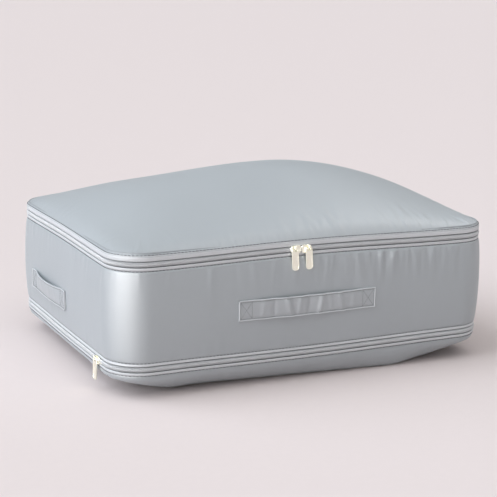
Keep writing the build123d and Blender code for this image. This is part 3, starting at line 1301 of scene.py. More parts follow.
# The stitch beside the coil is drawn in near-black thread: painted shade for the shadow along the coil's
# edge.
COIL_STITCH = ((-1.2, -0.75, 0), (-0.9, -0.25, 0), (0.9, -0.25, 0), (1.2, -0.75, 0))


@dataclass
class ZipRun(SeamPart):
    """One zip: two woven tapes, two rows of coil teeth and the sewing beside them, drawn near-black as
    painted shade along the coil.

    Attributes:
        start: Where its chain starts along the walk.
        end: Where it ends.
        below: Depth of the lower tape below the zip line.
        above: Height of the upper tape above it.
        lower: Body and CAD nodes of the lower half.
        upper: Body and CAD nodes of the upper half.
        pitch: Distance between teeth.
        tooth_radius: Radius of a tooth's bent thread.
        tape_thickness: Thickness of a tape at its seam.
        stitch_pitch: Distance between the stitches beside the coil.
        stitch_radius: Radius of their thread.
        stitch_rise: Their distance from the zip line.
        step: Distance between points along a tape.
    """

    start: float
    end: float
    below: float
    above: float
    lower: tuple[Body, str, str]
    upper: tuple[Body, str, str]
    pitch: float = 1.3
    tooth_radius: float = 0.52
    tape_thickness: float = 0.5
    stitch_pitch: float = 2.4
    stitch_radius: float = 0.34
    stitch_rise: float = 2.75
    step: float = 2.5

    def _section(self, reach: float) -> list[tuple[float, float]]:
        """Section of one tape: down its face from the seam to the coil, and back behind.

        Args:
            reach: Distance from the zip line to the tape's seam, negative below.

        Returns:
            Points of the section, as (outward, rise).
        """
        sign = math.copysign(1.0, reach)
        seam = abs(reach)
        section = [(out, sign * (seam - inward)) for out, inward in TAPE_SEAM]
        section += [(out, sign * rise) for out, rise in TAPE_FACE]
        section.append((-0.7 - self.tape_thickness, sign * seam))
        return section if sign < 0 else section[::-1]

    def _half(self, half: str, reach: float, side: tuple[Body, str, str]) -> list[bpy.types.Object]:
        """Builds one half: its tape, its teeth, set half a pitch from the other row, and its sewing in
        painted-shade thread.

        Args:
            half: upper or lower.
            reach: Distance from the zip line to the tape's seam, negative below.
            side: The body it rides on, and the CAD nodes of its tape and coil.

        Returns:
            The three pieces.
        """
        body, tape_node, coil_node = side
        sign = math.copysign(1.0, reach)
        name = f"{self.name}_tape_{half}_cloth"
        tape = self.wrap.ribbon(name, self._section(reach), self.start, self.end, self.step)
        path = [(along, out, rise * sign) for along, out, rise in TOOTH_PATH]
        first = self.start + (0.25 if sign > 0 else 0.75) * self.pitch
        places = np.arange(first, self.end - 0.3, self.pitch)
        teeth = self.wrap.repeated(f"{self.name}_teeth_{half}", path, self.tooth_radius, places, sides=5)
        # Near-black sewing in the groove beside the coil: painted shade for the coil edge's shadow.
        places = np.arange(self.start + 1, self.end - 1, self.stitch_pitch)
        name, rise = f"{self.name}_coil_thread_{half}", self.stitch_rise * sign
        sewing = self.wrap.repeated(name, COIL_STITCH, self.stitch_radius, places, rise, 5)
        return [
            tape.build(TAPE_CLOTH, Slot.TAPE, [tape_node], body),
            teeth.build(COIL_NYLON, Slot.COIL, [coil_node], body),
            sewing.build(DARK_SHADE_THREAD, Slot.TAPE, body=body),
        ]

    def build(self) -> list[bpy.types.Object]:
        """Builds both halves of the zip."""
        return self._half("lower", -self.below, self.lower) + self._half("upper", self.above, self.upper)


@dataclass
class SeamThread(SeamPart):
    """A line of topstitching along one seam, in near-black thread: painted shade for the crevice the stitches
    sink into.

    Attributes:
        body: The body it rides on.
        rise: Its height above the zip line.
        out: Its distance outside the outline.
        start: Where it starts along the walk.
        end: Where it ends.
        stitch: Length of a stitch.
        pitch: Distance between stitches.
        radius: Radius of the thread.
        sink: How far a stitch's ends go into the cloth.
    """

    body: Body
    rise: float
    out: float
    start: float
    end: float
    stitch: float = 2.5
    pitch: float = 3.6
    radius: float = 0.36
    sink: float = 0.5

    def build(self) -> bpy.types.Object:
        """Builds the row of stitches."""
        half = self.stitch / 2
        sunk, top = self.out - self.sink, self.out + 0.1
        path = [
            (-half, sunk, 0), (-half * 0.8, self.out, 0), (0, top, 0),
            (half * 0.8, self.out, 0), (half, sunk, 0),
        ]
        stations = np.arange(self.start + self.pitch / 2, self.end, self.pitch)
        piece = self.wrap.repeated(self.name, path, self.radius, stations, self.rise)
        # Near-black thread: the stitches' darkness is painted shade.
        return piece.build(DARK_SHADE_THREAD, Slot.SHELL, body=self.body)


@dataclass
class InnerBinding(SeamPart):
    """Folded bias tape that covers the raw edges behind a seam.

    Attributes:
        body: The body it rides on.
        node: The CAD node it stands for.
        low: Its lower edge above the zip line.
        high: Its upper edge.
        face: Outward place of the face against the seam.
        step: Distance between points along the walk.
    """

    body: Body
    node: str
    low: float
    high: float
    face: float = -1.1
    step: float = 3.0

    def build(self) -> bpy.types.Object:
        """Builds the binding as a flattened tube round the case."""
        f, low, high = self.face, self.low, self.high
        section = [
            (f, low + 0.5), (f - 0.25, low + 0.1), (f - 0.6, low), (f - 1.0, low + 0.25),
            (f - 1.2, low + 0.8), (f - 1.0, (low + high) / 2), (f - 1.2, high - 0.8), (f - 1.0, high - 0.25),
            (f - 0.6, high), (f - 0.25, high - 0.1), (f, high - 0.5), (f, low + 0.5),
        ]
        piece = self.wrap.ribbon(self.name, section, 0.0, self.wrap.outline.total, self.step)
        return piece.build(BINDING_CLOTH, Slot.BINDING, [self.node], self.body)


@dataclass
class Gusset:
    """The expansion gusset, lying in pleats behind the expander zip.

    Attributes:
        sizes: The case's sizes.
        pleats: Number of pleats.
        reach: Depth of a pleat.
        near: Outward place of the pleats' outer folds.
        sewn: Outward place of its two sewn edges.
        turn: Radius of a fold.
        bend_inset: Heights at its two edges that stay with their own body; not used.
        step: Distance between points along the walk.
    """

    sizes: CaseSizes
    pleats: int = 3
    reach: float = 9.0
    near: float = -2.9
    sewn: float = -1.2
    turn: float = 0.3
    bend_inset: float = 0.4
    step: float = 3.0

    def build(self) -> bpy.types.Object:
        """Builds the pleated strip."""
        node_low, node_high = _millimetres("expansion_gusset")
        low = node_low[2] + 0.2 - self.sizes.low_zip
        high = node_high[2] - 0.2 - self.sizes.low_zip
        section = [(self.sewn, low), (self.near - self.turn, low + 0.1)]
        leaves = 2 * self.pleats
        for leaf in range(leaves):
            z = low + (high - low) * (leaf + 0.5) / leaves
            inner = leaf % 2 == 0
            out = self.near - self.reach if inner else self.near
            eased = out + (self.turn if inner else -self.turn)
            section += [(eased, z - 0.35), (out, z), (eased, z + 0.35)]
        section += [(self.near - self.turn, high - 0.1), (self.sewn, high)]
        wrap = Wrapped(self.sizes.outline, lambda arch: self.sizes.low_zip + 0 * arch)
        piece = wrap.ribbon("gusset_cloth", section, 0.0, self.sizes.outline.total, self.step)
        thing = piece.build(GUSSET_CLOTH, Slot.GUSSET, ["expansion_gusset"])
        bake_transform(thing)
        return thing


@dataclass
class HingeStrip(ClothPart):
    """The cloth strip across the back that the lid turns on.

    Attributes:
        rows: Rows of points, from the wall to the lid.
        columns: Points along the strip.
        bow: How far the middle of the strip stands out.
        bend: Half the height over which it bends; not used.
    """

    rows: int = 17
    columns: int = 160
    bow: float = 0.85
    bend: float = 5.0

    def build(self) -> bpy.types.Object:
        """Builds the strip."""
        sizes = self.sizes
        s = np.linspace(-sizes.back_half, sizes.back_half, self.columns)
        t = np.linspace(0, 1, self.rows)
        along, share = np.meshgrid(s, t)
        _, arch = sizes.outline.walk(along, np.zeros_like(along))
        low = sizes.lid_line(arch) + sizes.wall_head - sizes.lid_zip
        high = sizes.lid_line(arch) + sizes.lid_seam - sizes.lid_zip
        out = -0.1 + self.bow * np.sin(share * math.pi) ** 0.5
        flat, _ = sizes.outline.walk(along, out)
        points = np.concatenate([flat, (low + (high - low) * share)[..., None]], axis=-1)
        length, height = 2 * sizes.back_half, sizes.lid_seam - sizes.wall_head
        piece = Piece.grid("hinge_cloth", points, grid_cloth(s, t * height, False, 0.0))
        thing = piece.build(GUSSET_CLOTH, Slot.GUSSET, ["hinge_strip"])
        skin(thing, self.cloth_thickness)
        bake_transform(thing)
        return thing


# Folds across a slack strap: place along it, width, height and slant, as shares of its length.
STRAP_FOLDS = (
    (0.17, 0.018, 0.7, 0.012), (0.25, 0.014, -0.5, 0.0), (0.355, 0.022, 1.3, -0.018),
    (0.43, 0.016, 0.55, 0.01), (0.50, 0.02, -0.6, 0.008), (0.585, 0.018, 1.0, 0.015),
    (0.66, 0.015, 0.4, -0.01), (0.735, 0.022, 0.9, -0.015), (0.83, 0.016, 0.6, 0.01),
)
# Section of a strap: (across, share of its thickness) over the outside, then (across, out) on the inside.
STRAP_OUTSIDE = (
    (-1.0, 0.5), (-0.985, 1.0), (-0.95, 1.18), (-0.86, 1.15), (-0.82, 0.72), (-0.78, 0.95), (-0.4, 1.0),
    (0.0, 1.0), (0.4, 1.0), (0.78, 0.95), (0.82, 0.72), (0.86, 1.15), (0.95, 1.18), (0.985, 1.0), (1.0, 0.5),
)
STRAP_INSIDE = ((0.985, 0.08), (0.5, 0.0), (0.0, 0.0), (-0.5, 0.0), (-0.985, 0.08))


@dataclass
class StrapHandle:
    """A folded strap sewn down at both ends, with a slack middle.

    It is made lying along X on a wall that faces -Y, then turned to its side of the case.

    Attributes:
        name: Prefix of its pieces.
        ends_node: CAD node of the sewn ends.
        grip_node: CAD node of the loose middle.
        grip: The body of the loose middle; not used.
        turn: Quarter turns about Z from the front.
        stand: How far the slack middle bows out.
        droop: How far the slack middle hangs.
        lean: How much further the upper edge of the middle stands out.
        ripple: Depth of the folds across the middle.
        thickness: Thickness of the strap.
        end_length: Length of each sewn end.
        edge_radius: Radius of its folded edges.
        edge_place: Where the folded edges and their corners lie across the strap.
        seam_place: Where its two edge seams lie across the strap.
        cloth_half: Half of the strap's width in cloth coordinates.
        rows: Rows of points along the strap.
    """

    name: str
    ends_node: str
    grip_node: str
    grip: Body
    turn: int
    stand: float
    droop: float
    lean: float
    ripple: float
    thickness: float = 1.1
    end_length: float = 14.5
    edge_radius: float = 0.55
    edge_place: float = 0.93
    seam_place: float = 0.82
    cloth_half: float = 8.7
    rows: int = 260

    def __post_init__(self) -> None:
        """Reads the strap's place from its CAD nodes."""
        low, high = _millimetres(self.ends_node)
        if self.turn == 0:
            self.face = high[1]
            self.near, self.far = low[0], high[0]
        else:
            self.face = high[0]
            self.near, self.far = -high[1], -low[1]
        self.low, self.high = low[2], high[2]
        self.middle = (self.near + self.far) / 2

    def _slack(self, x: np.ndarray) -> np.ndarray:
        """0 on the sewn ends, rising to 1 in the middle of the strap."""
        share = (x - self.near - self.end_length) / (self.far - self.near - 2 * self.end_length)
        return np.sin(np.clip(share, 0, 1) * math.pi) ** 0.8

    def _surface(self, x: np.ndarray, across: np.ndarray, out: np.ndarray) -> np.ndarray:
        """Points of the strap.

        Args:
            x: Distances along the strap.
            across: Places across it, from -1 at the lower edge to 1 at the upper.
            out: Distances out from the wall.

        Returns:
            Points in the row frame, with a last axis of 3.
        """
        slack = self._slack(x)
        half = (self.high - self.low) / 2
        share = (x - self.near) / (self.far - self.near)
        waves = 0.25 * np.sin(x / 3.1 + across * 0.9)
        for place, width, rise, slant in STRAP_FOLDS:
            waves = waves + rise * np.exp(-((share - place - slant * across) / width) ** 2)
        waves *= self.ripple * np.clip(slack * 1.5, 0, 1) * (1 - 0.5 * across ** 2)
        bow = self.stand * slack * (1 + self.lean * across)
        y = self.face - out - bow - waves
        z = (self.low + self.high) / 2 + across * half - self.droop * slack * (1 + 0.25 * across)
        placed = np.stack([x, y, z], axis=-1)
        if self.turn:
            placed = np.stack([y, -x, z], axis=-1)
        return placed

    def _section(self) -> np.ndarray:
        """The folded strap's section, as (across, out), with thicker folded edges."""
        outside = [(across, self.thickness * share) for across, share in STRAP_OUTSIDE]
        return np.array(outside + list(STRAP_INSIDE))

    def _half(self, side: str, start: float, end: float) -> bpy.types.Object:
        """Builds one half of the strap.

        Args:
            side: near or far.
            start: Where the half starts along the strap.
            end: Where it ends.

        Returns:
            The half strap.
        """
        section = self._section()
        x = np.linspace(start, end, self.rows // 2)
        along, across = np.meshgrid(x, section[:, 0], indexing="ij")
        _, out = np.meshgrid(x, section[:, 1], indexing="ij")
        points = self._surface(along, across, out)
        faces = quad_grid(len(x), len(section), True).tolist()
        ring = len(section)
        last = (len(x) - 1) * ring
        girth = np.concatenate([[0], np.cumsum(np.hypot(*np.diff(section * (self.cloth_half, 1), axis=0).T))])
        cloth = grid_cloth(girth, x, True, girth[-1] + 1.0)
        caps = [tuple(range(ring)) if side == "near" else tuple(range(last + ring - 1, last - 1, -1))]
        flat = np.concatenate([cloth.reshape(-1, 2), np.zeros((ring, 2))])
        name = f"{self.name}_strap_{side}"
        piece = Piece(name, points.reshape(-1, 3), faces + caps, flat)
        thing = piece.build(STRAP_CLOTH, Slot.STRAP, [self.ends_node, self.grip_node])
        self._bend(thing, side)
        return thing

    def _bend(self, thing: bpy.types.Object, side: str) -> None:
        """Bakes a piece's placement into its mesh.

        Args:
            thing: The half, or what is sewn to it.
            side: near or far; not used.
        """
        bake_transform(thing)

    def _stitches(self) -> list[tuple[float, float, float, float]]:
        """Ends of every sewn line, as (x, across) pairs: two edges, two boxes and their crosses."""
        inset = 1.6
        length = self.end_length
        lines = []
        seam, corner = self.seam_place, self.seam_place - 0.02
        for edge in (-seam, seam):
            lines.append((self.near + 1, edge, self.middle, edge))
            lines.append((self.middle, edge, self.far - 1, edge))
        for left in (self.near + inset, self.far - length + inset * 0.3):
            right = left + length - inset * 1.6
            lines.append((left, -seam, left, seam))
            lines.append((right, -seam, right, seam))
            lines.append((left, -corner, right, corner))
            lines.append((left, corner, right, -corner))
        return lines

    def _threads(self) -> list[bpy.types.Object]:
        """Builds the sewing threads, one piece for each half of the strap."""
        half = (self.high - self.low) / 2
        pitch, stitch, radius = 2.2, 1.9, 0.26
        made = []
        for side in ("near", "far"):
            tubes = []
            for x0, a0, x1, a1 in self._stitches():
                if ((x0 + x1) / 2 < self.middle) != (side == "near"):
                    continue
                length = math.hypot(x1 - x0, (a1 - a0) * half)
                number = max(int(length / pitch), 1)
                for index in range(number):
                    at = (np.array([0.0, 0.1, 0.5, 0.9, 1.0]) * stitch + index * pitch + 0.3) / length
                    x = x0 + (x1 - x0) * at
                    across = a0 + (a1 - a0) * at
                    lift = self.thickness * np.array([0.55, 0.98, 1.06, 0.98, 0.55])
                    tubes.append(thread_tube(self._surface(x, across, lift), radius, 5))
            piece = Piece.joined(f"{self.name}_thread_{side}", tubes)
            thing = piece.build(STRAP_THREAD, Slot.STRAP)
            self._bend(thing, side)
            made.append(thing)
        return made

    def _edge(self, side: str, end: float) -> bpy.types.Object:
        """Builds the folded edge round one half, from the middle round its sewn end and back, in the lighter
        cloth that paints its highlight.

        Args:
            side: near or far.
            end: Where the half's sewn end is.

        Returns:
            The folded edge.
        """
        x = np.linspace(self.middle, end, self.rows // 3)
        place = self.edge_place
        across = np.linspace(place, -place, 16)
        path_x = np.concatenate([x, np.full(14, end), x[::-1]])
        path_across = np.concatenate([np.full(len(x), place), across[1:-1], np.full(len(x), -place)])
        lift = np.full(len(path_x), self.thickness + 0.05)
        points, faces = thread_tube(self._surface(path_x, path_across, lift), self.edge_radius, 8)
        thing = Piece(f"{self.name}_strap_edge_{side}", points, faces).build(LIT_EDGE_CLOTH, Slot.STRAP)
        self._bend(thing, side)
        return thing

    def build(self) -> list[bpy.types.Object]:
        """Builds the strap's two halves, their folded edges and their threads."""
        halves = [self._half("near", self.near, self.middle), self._half("far", self.middle, self.far)]
        inset = self.edge_radius
        edges = [self._edge("near", self.near + inset), self._edge("far", self.far - inset)]
        return halves + edges + self._threads()


def plate_mesh(
    outlines: Sequence[Sequence[tuple[float, float]]], thickness: float, bevel: float
) -> tuple[np.ndarray, list[tuple[int, ...]]]:
    """A flat plate with soft edges, cut to an outline with holes.

    Args:
        outlines: The outline, then any holes, as (x, z) points.
        thickness: Plate thickness.
        bevel: Edge rounding.

    Returns:
        Points (x, z, height), centred on the plate's middle, and faces.
    """
    curve = bpy.data.curves.new("plate", "CURVE")
    curve.dimensions = "2D"
    curve.fill_mode = "BOTH"
    curve.extrude = thickness / 2 - bevel
    curve.bevel_depth = bevel
    curve.bevel_resolution = 3
    curve.offset = -bevel
    for outline in outlines:
        spline = curve.splines.new("POLY")
        spline.points.add(len(outline) - 1)
        for point, (x, z) in zip(spline.points, outline):
            point.co = (x, z, 0, 1)
        spline.use_cyclic_u = True
    holder = bpy.data.objects.new("plate", curve)
    bpy.context.scene.collection.objects.link(holder)
    bpy.context.view_layer.update()
    mesh = bpy.data.meshes.new_from_object(holder.evaluated_get(bpy.context.evaluated_depsgraph_get()))
    points = np.array([v.co for v in mesh.vertices], float).reshape(-1, 3)
    faces = [tuple(p.vertices) for p in mesh.polygons]
    bpy.data.objects.remove(holder)
    bpy.data.curves.remove(curve)
    bpy.data.meshes.remove(mesh)
    return points, faces


def round_box(
    width: float, height: float, radius: float, centre: tuple[float, float] = (0, 0), steps: int = 8
) -> list[tuple[float, float]]:
    """Points of a rounded rectangle.

    Args:
        width: Size along the first axis.
        height: Size along the second.
        radius: Corner radius.
        centre: Its centre.
        steps: Points in each corner.

    Returns:
        The outline's points, anticlockwise.
    """
    points = []
    for quarter, (sx, sz) in enumerate(((1, 1), (-1, 1), (-1, -1), (1, -1))):
        for step in range(steps + 1):
            angle = (quarter + step / steps) * math.pi / 2
            x = centre[0] + sx * (width / 2 - radius) + radius * math.cos(angle)
            z = centre[1] + sz * (height / 2 - radius) + radius * math.sin(angle)
            points.append((x, z))
    return points


@dataclass
class ZipSlider:
    """One slider with its loop and pull, made with the chain along X and its nose towards +X.

    Attributes:
        name: Prefix shared by its CAD nodes and bodies.
        slider: Body of the slider.
        pull: Body of the pull.
        mirrored: Whether the nose points the other way.
        turn: Quarter turns about Z from the front.
        sizes: The case's sizes.
        lean: Degrees the pull leans in its plane, its foot towards +X.
        twist: Degrees the pull is turned about its upright.
        wing: Length, height and corner radius of a slider wing.
        tab_width: Width of the pull.
        tab_thickness: Thickness of the pull.
        loop_shift: Where the loop and pull sit along the slider.
        pivot_out: How far out the pull turns on the loop.
        pivot_rise: How high it turns.
    """

    name: str
    slider: Body
    pull: Body
    mirrored: bool
    turn: int
    sizes: CaseSizes
    lean: float = 0.0
    twist: float = 0.0
    wing: tuple[float, float, float] = (10.6, 8.4, 2.6)
    tab_width: float = 7.3
    tab_thickness: float = 1.0
    loop_shift: float = -1.8
    pivot_out: float = 3.3
    pivot_rise: float = 1.8

    def __post_init__(self) -> None:
        """Reads the slider's centre from its CAD node."""
        low, high = _millimetres(self.name + "_slider")
        middle = (low + high) / 2
        outline = self.sizes.outline
        if self.turn == 0:
            self.centre = np.array((middle[0], -outline.half_depth, middle[2]))
        else:
            self.centre = np.array((-outline.half_length, middle[1], middle[2]))

    def _place(self, points: np.ndarray, faces: list[tuple[int, ...]]) -> tuple[np.ndarray, list]:
        """Mirrors, turns and moves local points to the slider's place on the case.

        Args:
            points: Local points.
            faces: Their faces.

        Returns:
            The placed points and their faces.
        """
        points = points.copy()
        if self.mirrored:
            points[:, 0] *= -1
            faces = [face[::-1] for face in faces]
        if self.turn:
            points = np.stack([points[:, 1], -points[:, 0], points[:, 2]], axis=1)
        return points + self.centre, faces

    def _plate(
        self, outlines: Sequence, thickness: float, bevel: float, middle_out: float, edgewise: bool = False
    ) -> tuple[np.ndarray, list]:
        """A plate in the wall's plane, or edgewise across it.

        Args:
            outlines: The outline, then any holes.
            thickness: Thickness of the plate.
            bevel: Rounding of its edges.
            middle_out: How far out from the zip line its middle is.
            edgewise: Whether it stands across the wall's plane.

        Returns:
            Local points and faces.
        """
        points, faces = plate_mesh(outlines, thickness, bevel)
        if edgewise:
            local = np.stack([points[:, 2] + self.loop_shift, -points[:, 0], points[:, 1]], axis=1)
            return local, [face[::-1] for face in faces]
        return np.stack([points[:, 0], -points[:, 2] - middle_out, points[:, 1]], axis=1), faces

    def _hang(self, part: tuple[np.ndarray, list]) -> tuple[np.ndarray, list]:
        """Leans a plate of the pull in its own plane, then twists it about the upright through its pivot.

        Args:
            part: Local points and faces of the plate.

        Returns:
            The same, hung.
        """
        points, faces = part
        pivot = np.array((self.loop_shift, -self.pivot_out, self.pivot_rise))
        lean = math.radians(-self.lean if self.mirrored else self.lean)
        twist = math.radians(self.twist)
        x, y, z = (points - pivot).T
        x, z = x * math.cos(lean) - z * math.sin(lean), x * math.sin(lean) + z * math.cos(lean)
        x, y = x * math.cos(twist) - y * math.sin(twist), x * math.sin(twist) + y * math.cos(twist)
        return np.stack([x, y, z], axis=1) + pivot, faces

    def _join(
        self, name: str, parts: Sequence[tuple[np.ndarray, list]], body: Body, node: str
    ) -> bpy.types.Object:
        """Joins plates into one piece.

        Args:
            name: The end of the piece's name.
            parts: Points and faces of each plate.
            body: The body it rides on.
            node: The end of the name of the CAD node it stands for.

        Returns:
            The piece.
        """
        piece = Piece.joined(f"{self.name}_{name}", [self._place(*part) for part in parts])
        return piece.build(GOLD, Slot.METAL, [f"{self.name}_{node}"], body)

    def _body(self) -> bpy.types.Object:
        """Builds the slider body: a front wing with a raised rail, a rear wing and the post between them."""
        length = self.wing[0]
        wing = [(x, z * (1.0 - 0.13 * (1 - (x + length / 2) / length))) for x, z in round_box(*self.wing)]
        rail = [(x * 0.98, z * 0.98) for x, z in wing]
        rail_hole = [(x * 0.80, z * 0.66) for x, z in wing][::-1]
        plates = [
            self._plate([wing], 0.9, 0.28, 1.6),
            self._plate([rail, rail_hole], 0.7, 0.16, 2.0),
            self._plate([wing], 1.1, 0.25, -1.85),
            self._plate([round_box(2.4, 0.6, 0.2, (3.4, 0))], 3.3, 0.08, 0.0),
        ]
        return self._join("slider_body", plates, self.slider, "slider")

    def _loop(self) -> bpy.types.Object:
        """Builds the loop that stands on the front wing."""
        outer = round_box(3.1, 4.2, 0.9, (3.55, self.pivot_rise))
        inner = round_box(1.9, 2.6, 0.45, (3.35, self.pivot_rise))[::-1]
        plate = self._plate([outer, inner], 1.5, 0.22, 0.0, edgewise=True)
        return self._join("slider_loop", [plate], self.slider, "loop")

    def _pull(self) -> bpy.types.Object:
        """Builds the pull: a thin tab with a slot at the top and a raised frame round its field."""
        low, high = _millimetres(self.name + "_pull")
        length, top = high[2] - low[2], high[2] - self.centre[2]
        shift, width, thick = self.loop_shift, self.tab_width, self.tab_thickness
        outline = round_box(width, length, 3.2, (shift, top - length / 2), 10)
        tab = [(x, min(z, top)) for x, z in outline]
        slot = round_box(3.9, 2.9, 0.9, (shift, self.pivot_rise - 0.6 - 1.45))[::-1]
        field_length = length - 8.0
        field_middle = top - length + 1.1 + field_length / 2
        sunk = round_box(width - 2.2, field_length, 2.4, (shift, field_middle))[::-1]
        plates = [
            self._hang(self._plate([tab, slot], thick * 0.62, 0.14, self.pivot_out)),
            self._hang(self._plate([tab, slot, sunk], thick, 0.18, self.pivot_out)),
        ]
        return self._join("pull_tab", plates, self.pull, "pull")

    def build(self) -> list[bpy.types.Object]:
        """Builds the slider body, its loop and its pull."""
        return [self._body(), self._loop(), self._pull()]


@dataclass
class Studio:
    """Pale floor, soft lights and the camera.

    Attributes:
        target: Middle of the case, in metres.
        azimuth: The camera's direction from the case, in degrees.
        elevation: Its height above the horizon, in degrees.
        distance: Its distance from the target.
        roll: Its turn about its own axis, in degrees.
        lens: Focal length in millimetres.
        shift: Shift of the picture, as shares of its width.
        floor_size: Radius of the floor.
        backdrop: Colour of the room.
        room_light: Strength of its even light.
    """

    target: tuple[float, float, float]
    azimuth: float = -25.442
    elevation: float = 13.451
    distance: float = 1.481689
    roll: float = 0.938
    lens: float = 102.35
    shift: tuple[float, float] = (0.0028, 0.0348)
    floor_size: float = 14.0
    backdrop: tuple[float, float, float] = (1.0, 0.995, 0.99)
    room_light: float = 0.30

    def _direction(self, azimuth: float, elevation: float) -> Vector:
        """Unit vector from the target towards a place round it, in degrees."""
        a, e = math.radians(azimuth), math.radians(elevation)
        return Vector((math.sin(a) * math.cos(e), -math.cos(a) * math.cos(e), math.sin(e)))

    def camera(self) -> bpy.types.Object:
        """Places the camera."""
        back = self._direction(self.azimuth, self.elevation)
        right = Vector((0, 0, 1)).cross(back).normalized()
        up = back.cross(right)
        turn = math.radians(self.roll)
        tilted_right = right * math.cos(turn) + up * math.sin(turn)
        tilted_up = up * math.cos(turn) - right * math.sin(turn)
        data = bpy.data.cameras.new("camera")
        data.lens = self.lens
        data.sensor_width = 36.0
        data.shift_x, data.shift_y = self.shift
        data.clip_end = 60.0
        thing = bpy.data.objects.new("camera", data)
        bpy.context.scene.collection.objects.link(thing)
        place = Vector(self.target) + back * self.distance
        thing.matrix_world = Matrix.Translation(place) @ Matrix(
            (tilted_right, tilted_up, back)
        ).transposed().to_4x4()
        bpy.context.scene.camera = thing
        return thing

    def _lamp(
        self, name: str, kind: str, azimuth: float, elevation: float, distance: float
    ) -> bpy.types.Object:
        """Adds a light that faces the case.

        Args:
            name: The light's name.
            kind: SUN or AREA.
            azimuth: Its direction from the case, in degrees.
            elevation: Its height above the horizon, in degrees.
            distance: Its distance from the case.

        Returns:
            The light.
        """
        thing = bpy.data.objects.new(name, bpy.data.lights.new(name, kind))
        bpy.context.scene.collection.objects.link(thing)
        back = self._direction(azimuth, elevation)
        thing.location = Vector(self.target) + back * distance
        thing.rotation_euler = back.to_track_quat("Z", "Y").to_euler()
        return thing

    def sky(
        self, name: str, azimuth: float, elevation: float, share: float, spread: float,
        color: tuple[float, float, float]
    ) -> None:
        """Adds one broad, even light that reaches the whole floor.

        Args:
            name: The light's name.
            azimuth: Its direction, in degrees.
            elevation: Its height, in degrees.
            share: Its brightness on a surface that faces it, where 1 is white.
            spread: Its width, in degrees.
            color: Its colour.
        """
        thing = self._lamp(name, "SUN", azimuth, elevation, 4.0)
        thing.data.energy = share * math.pi
        thing.data.angle = math.radians(spread)
        thing.data.color = color
        thing.visible_glossy = False

    def softbox(
        self, name: str, azimuth: float, elevation: float, size: tuple[float, float], level: float
    ) -> None:
        """Adds one soft box that shows only as a highlight.

        Args:
            name: The light's name.
            azimuth: Its direction, in degrees.
            elevation: Its height, in degrees.
            size: Its width and height.
            level: Its brightness, where 1 is white.
        """
        thing = self._lamp(name, "AREA", azimuth, elevation, 3.0)
        thing.data.shape = "RECTANGLE"
        thing.data.size, thing.data.size_y = size
        thing.data.energy = level * math.pi * size[0] * size[1]
        thing.visible_diffuse = False

    def floor(self) -> bpy.types.Object:
        """Adds the floor."""
        mesh = bpy.data.meshes.new("floor")
        count = 96
        angles = np.arange(count) / count * 2 * math.pi
        rim = np.stack([np.cos(angles), np.sin(angles), np.zeros(count)], axis=1) * self.floor_size
        mesh.from_pydata(rim.tolist(), [], [tuple(range(count))])
        thing = bpy.data.objects.new("floor", mesh)
        bpy.context.scene.collection.objects.link(thing)
        thing.data.materials.append(PAPER.build())
        return thing

    def world(self) -> None:
        """Lights the room evenly with a pale backdrop."""
        world = bpy.data.worlds.new("room")
        world.use_nodes = True
        bpy.context.scene.world = world
        back = world.node_tree.nodes["Background"]
        back.inputs["Color"].default_value = (*self.backdrop, 1)
        back.inputs["Strength"].default_value = self.room_light

    def build(self) -> None:
        """Builds the whole studio."""
        self.floor()
        self.world()
        self.camera()
        self.sky("left_sky", -108, 36, 0.78, 70, (0.90, 0.965, 1.04))
        self.sky("top_sky", -10, 76, 0.39, 80, (1.0, 1.0, 1.0))
        self.softbox("left_box", -62, 9, (3.8, 2.4), 20.0)
        self.softbox("front_box", 30, 24, (1.8, 0.8), 2.6)
        self.softbox("top_box", 94, 50, (1.8, 1.3), 6.5)
        bpy.context.scene.view_settings.view_transform = "Standard"


def build_zips(sizes: CaseSizes) -> list[bpy.types.Object]:
    """Builds both zips with their topstitched seams and inner bindings.

    Args:
        sizes: The case's sizes.

    Returns:
        The pieces.
    """
    lid_wrap = Wrapped(sizes.outline, sizes.lid_line)
    low_wrap = Wrapped(sizes.outline, sizes.low_line)
    total = sizes.outline.total
    half = sizes.back_half
    head = sizes.lid_zip - sizes.wall_head
    seam = sizes.lid_seam - sizes.lid_zip
    foot = sizes.wall_foot - sizes.low_zip
    drop = sizes.low_zip - sizes.bottom_seam
    made = ZipRun(
        "lid_zip", lid_wrap, half, total - half, head, seam,
        (Body.WALL, "lid_zip_tape_lower", "lid_zip_coil_lower"),
        (Body.LID, "lid_zip_tape_upper", "lid_zip_coil_upper"),
    ).build()
    made += ZipRun(
        "expander", low_wrap, 0.0, total, drop, foot,
        (Body.BASE, "expander_tape_lower", "expander_coil_lower"),
        (Body.WALL, "expander_tape_upper", "expander_coil_upper"),
    ).build()
    threads = (
        ("lid_seam_thread", lid_wrap, Body.LID, seam + 0.15, 0.2),
        ("wall_head_thread", lid_wrap, Body.WALL, -head - 0.1, 0.2),
        ("wall_foot_thread", low_wrap, Body.WALL, foot + 0.1, 0.1),
        ("bottom_seam_thread", low_wrap, Body.BASE, -drop - 0.1, 0.1),
    )
    for name, wrap, body, rise, out in threads:
        made.append(SeamThread(name, wrap, body, rise, out, 0.0, total).build())
    level_wrap = Wrapped(sizes.outline, lambda arch: sizes.lid_zip + 0 * arch)
    bindings = (
        ("lid_seam_binding_tape", level_wrap, Body.LID, "lid_seam_binding", sizes.lid_zip),
        ("wall_head_binding_tape", lid_wrap, Body.WALL, "wall_head_binding", sizes.lid_zip),
        ("wall_foot_binding_tape", low_wrap, Body.WALL, "wall_foot_binding", sizes.low_zip),
        ("bottom_seam_binding_tape", low_wrap, Body.BASE, "bottom_seam_binding", sizes.low_zip),
    )
    for name, wrap, body, node, line in bindings:
        low, high = _millimetres(node)
        made.append(InnerBinding(name, wrap, body, node, low[2] - line, high[2] - line).build())
    return made


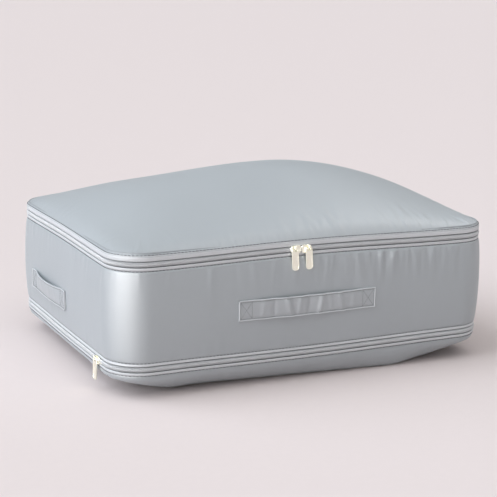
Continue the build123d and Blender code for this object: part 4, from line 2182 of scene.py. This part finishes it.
def build_handles(sizes: CaseSizes) -> list[bpy.types.Object]:
    """Builds the front and the side handle.

    Args:
        sizes: The case's sizes; not used.

    Returns:
        The pieces.
    """
    front = StrapHandle(
        "front", "front_strap_ends", "front_strap_grip", Body.FRONT_GRIP, turn=0,
        stand=1.6, droop=0.3, lean=0.1, ripple=1.5
    )
    side = StrapHandle(
        "side", "side_strap_ends", "side_strap_grip", Body.SIDE_GRIP, turn=1,
        stand=2.3, droop=1.0, lean=0.85, ripple=0.2, rows=200
    )
    return front.build() + side.build()


def build_sliders(sizes: CaseSizes) -> list[bpy.types.Object]:
    """Builds the two lid sliders and the expander slider.

    Args:
        sizes: The case's sizes.

    Returns:
        The pieces.
    """
    made = []
    for name, slider, pull, mirrored, turn, lean, twist in (
        ("left", Body.LEFT_SLIDER, Body.LEFT_PULL, False, 0, 4.0, 0.0),
        ("right", Body.RIGHT_SLIDER, Body.RIGHT_PULL, True, 0, 4.0, 0.0),
        ("expander", Body.EXPANDER_SLIDER, Body.EXPANDER_PULL, False, 1, -3.0, 8.0),
    ):
        made += ZipSlider(name, slider, pull, mirrored, turn, sizes, lean, twist).build()
    return made


def dress_stops() -> None:
    """Gives the crimped zip stops, whose CAD shape stays, their plated metal."""
    for name in ("lid_zip_stops", "expander_stops"):
        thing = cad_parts[name]
        thing.data.materials.clear()
        thing.data.materials.append(GOLD.build())


def main() -> None:
    """Builds the studio and every sub-assembly, in order."""
    logging.basicConfig(level=logging.INFO, format="%(name)s: %(message)s")
    sizes = CaseSizes.from_frame()
    middle = (sizes.lid_zip - 2.0 + sizes.low_zip) / 2
    Studio((0.0, 0.0, middle * MM)).build()
    made = LidPanel(sizes).build()
    made += WallPanels(sizes).build()
    made += BottomPanel(sizes).build()
    made += build_zips(sizes)
    made.append(Gusset(sizes).build())
    made.append(HingeStrip(sizes).build())
    made += build_handles(sizes)
    made += build_sliders(sizes)
    dress_stops()
    LOG.info("%d pieces in all", len(made))


if __name__ == "__main__":
    main()
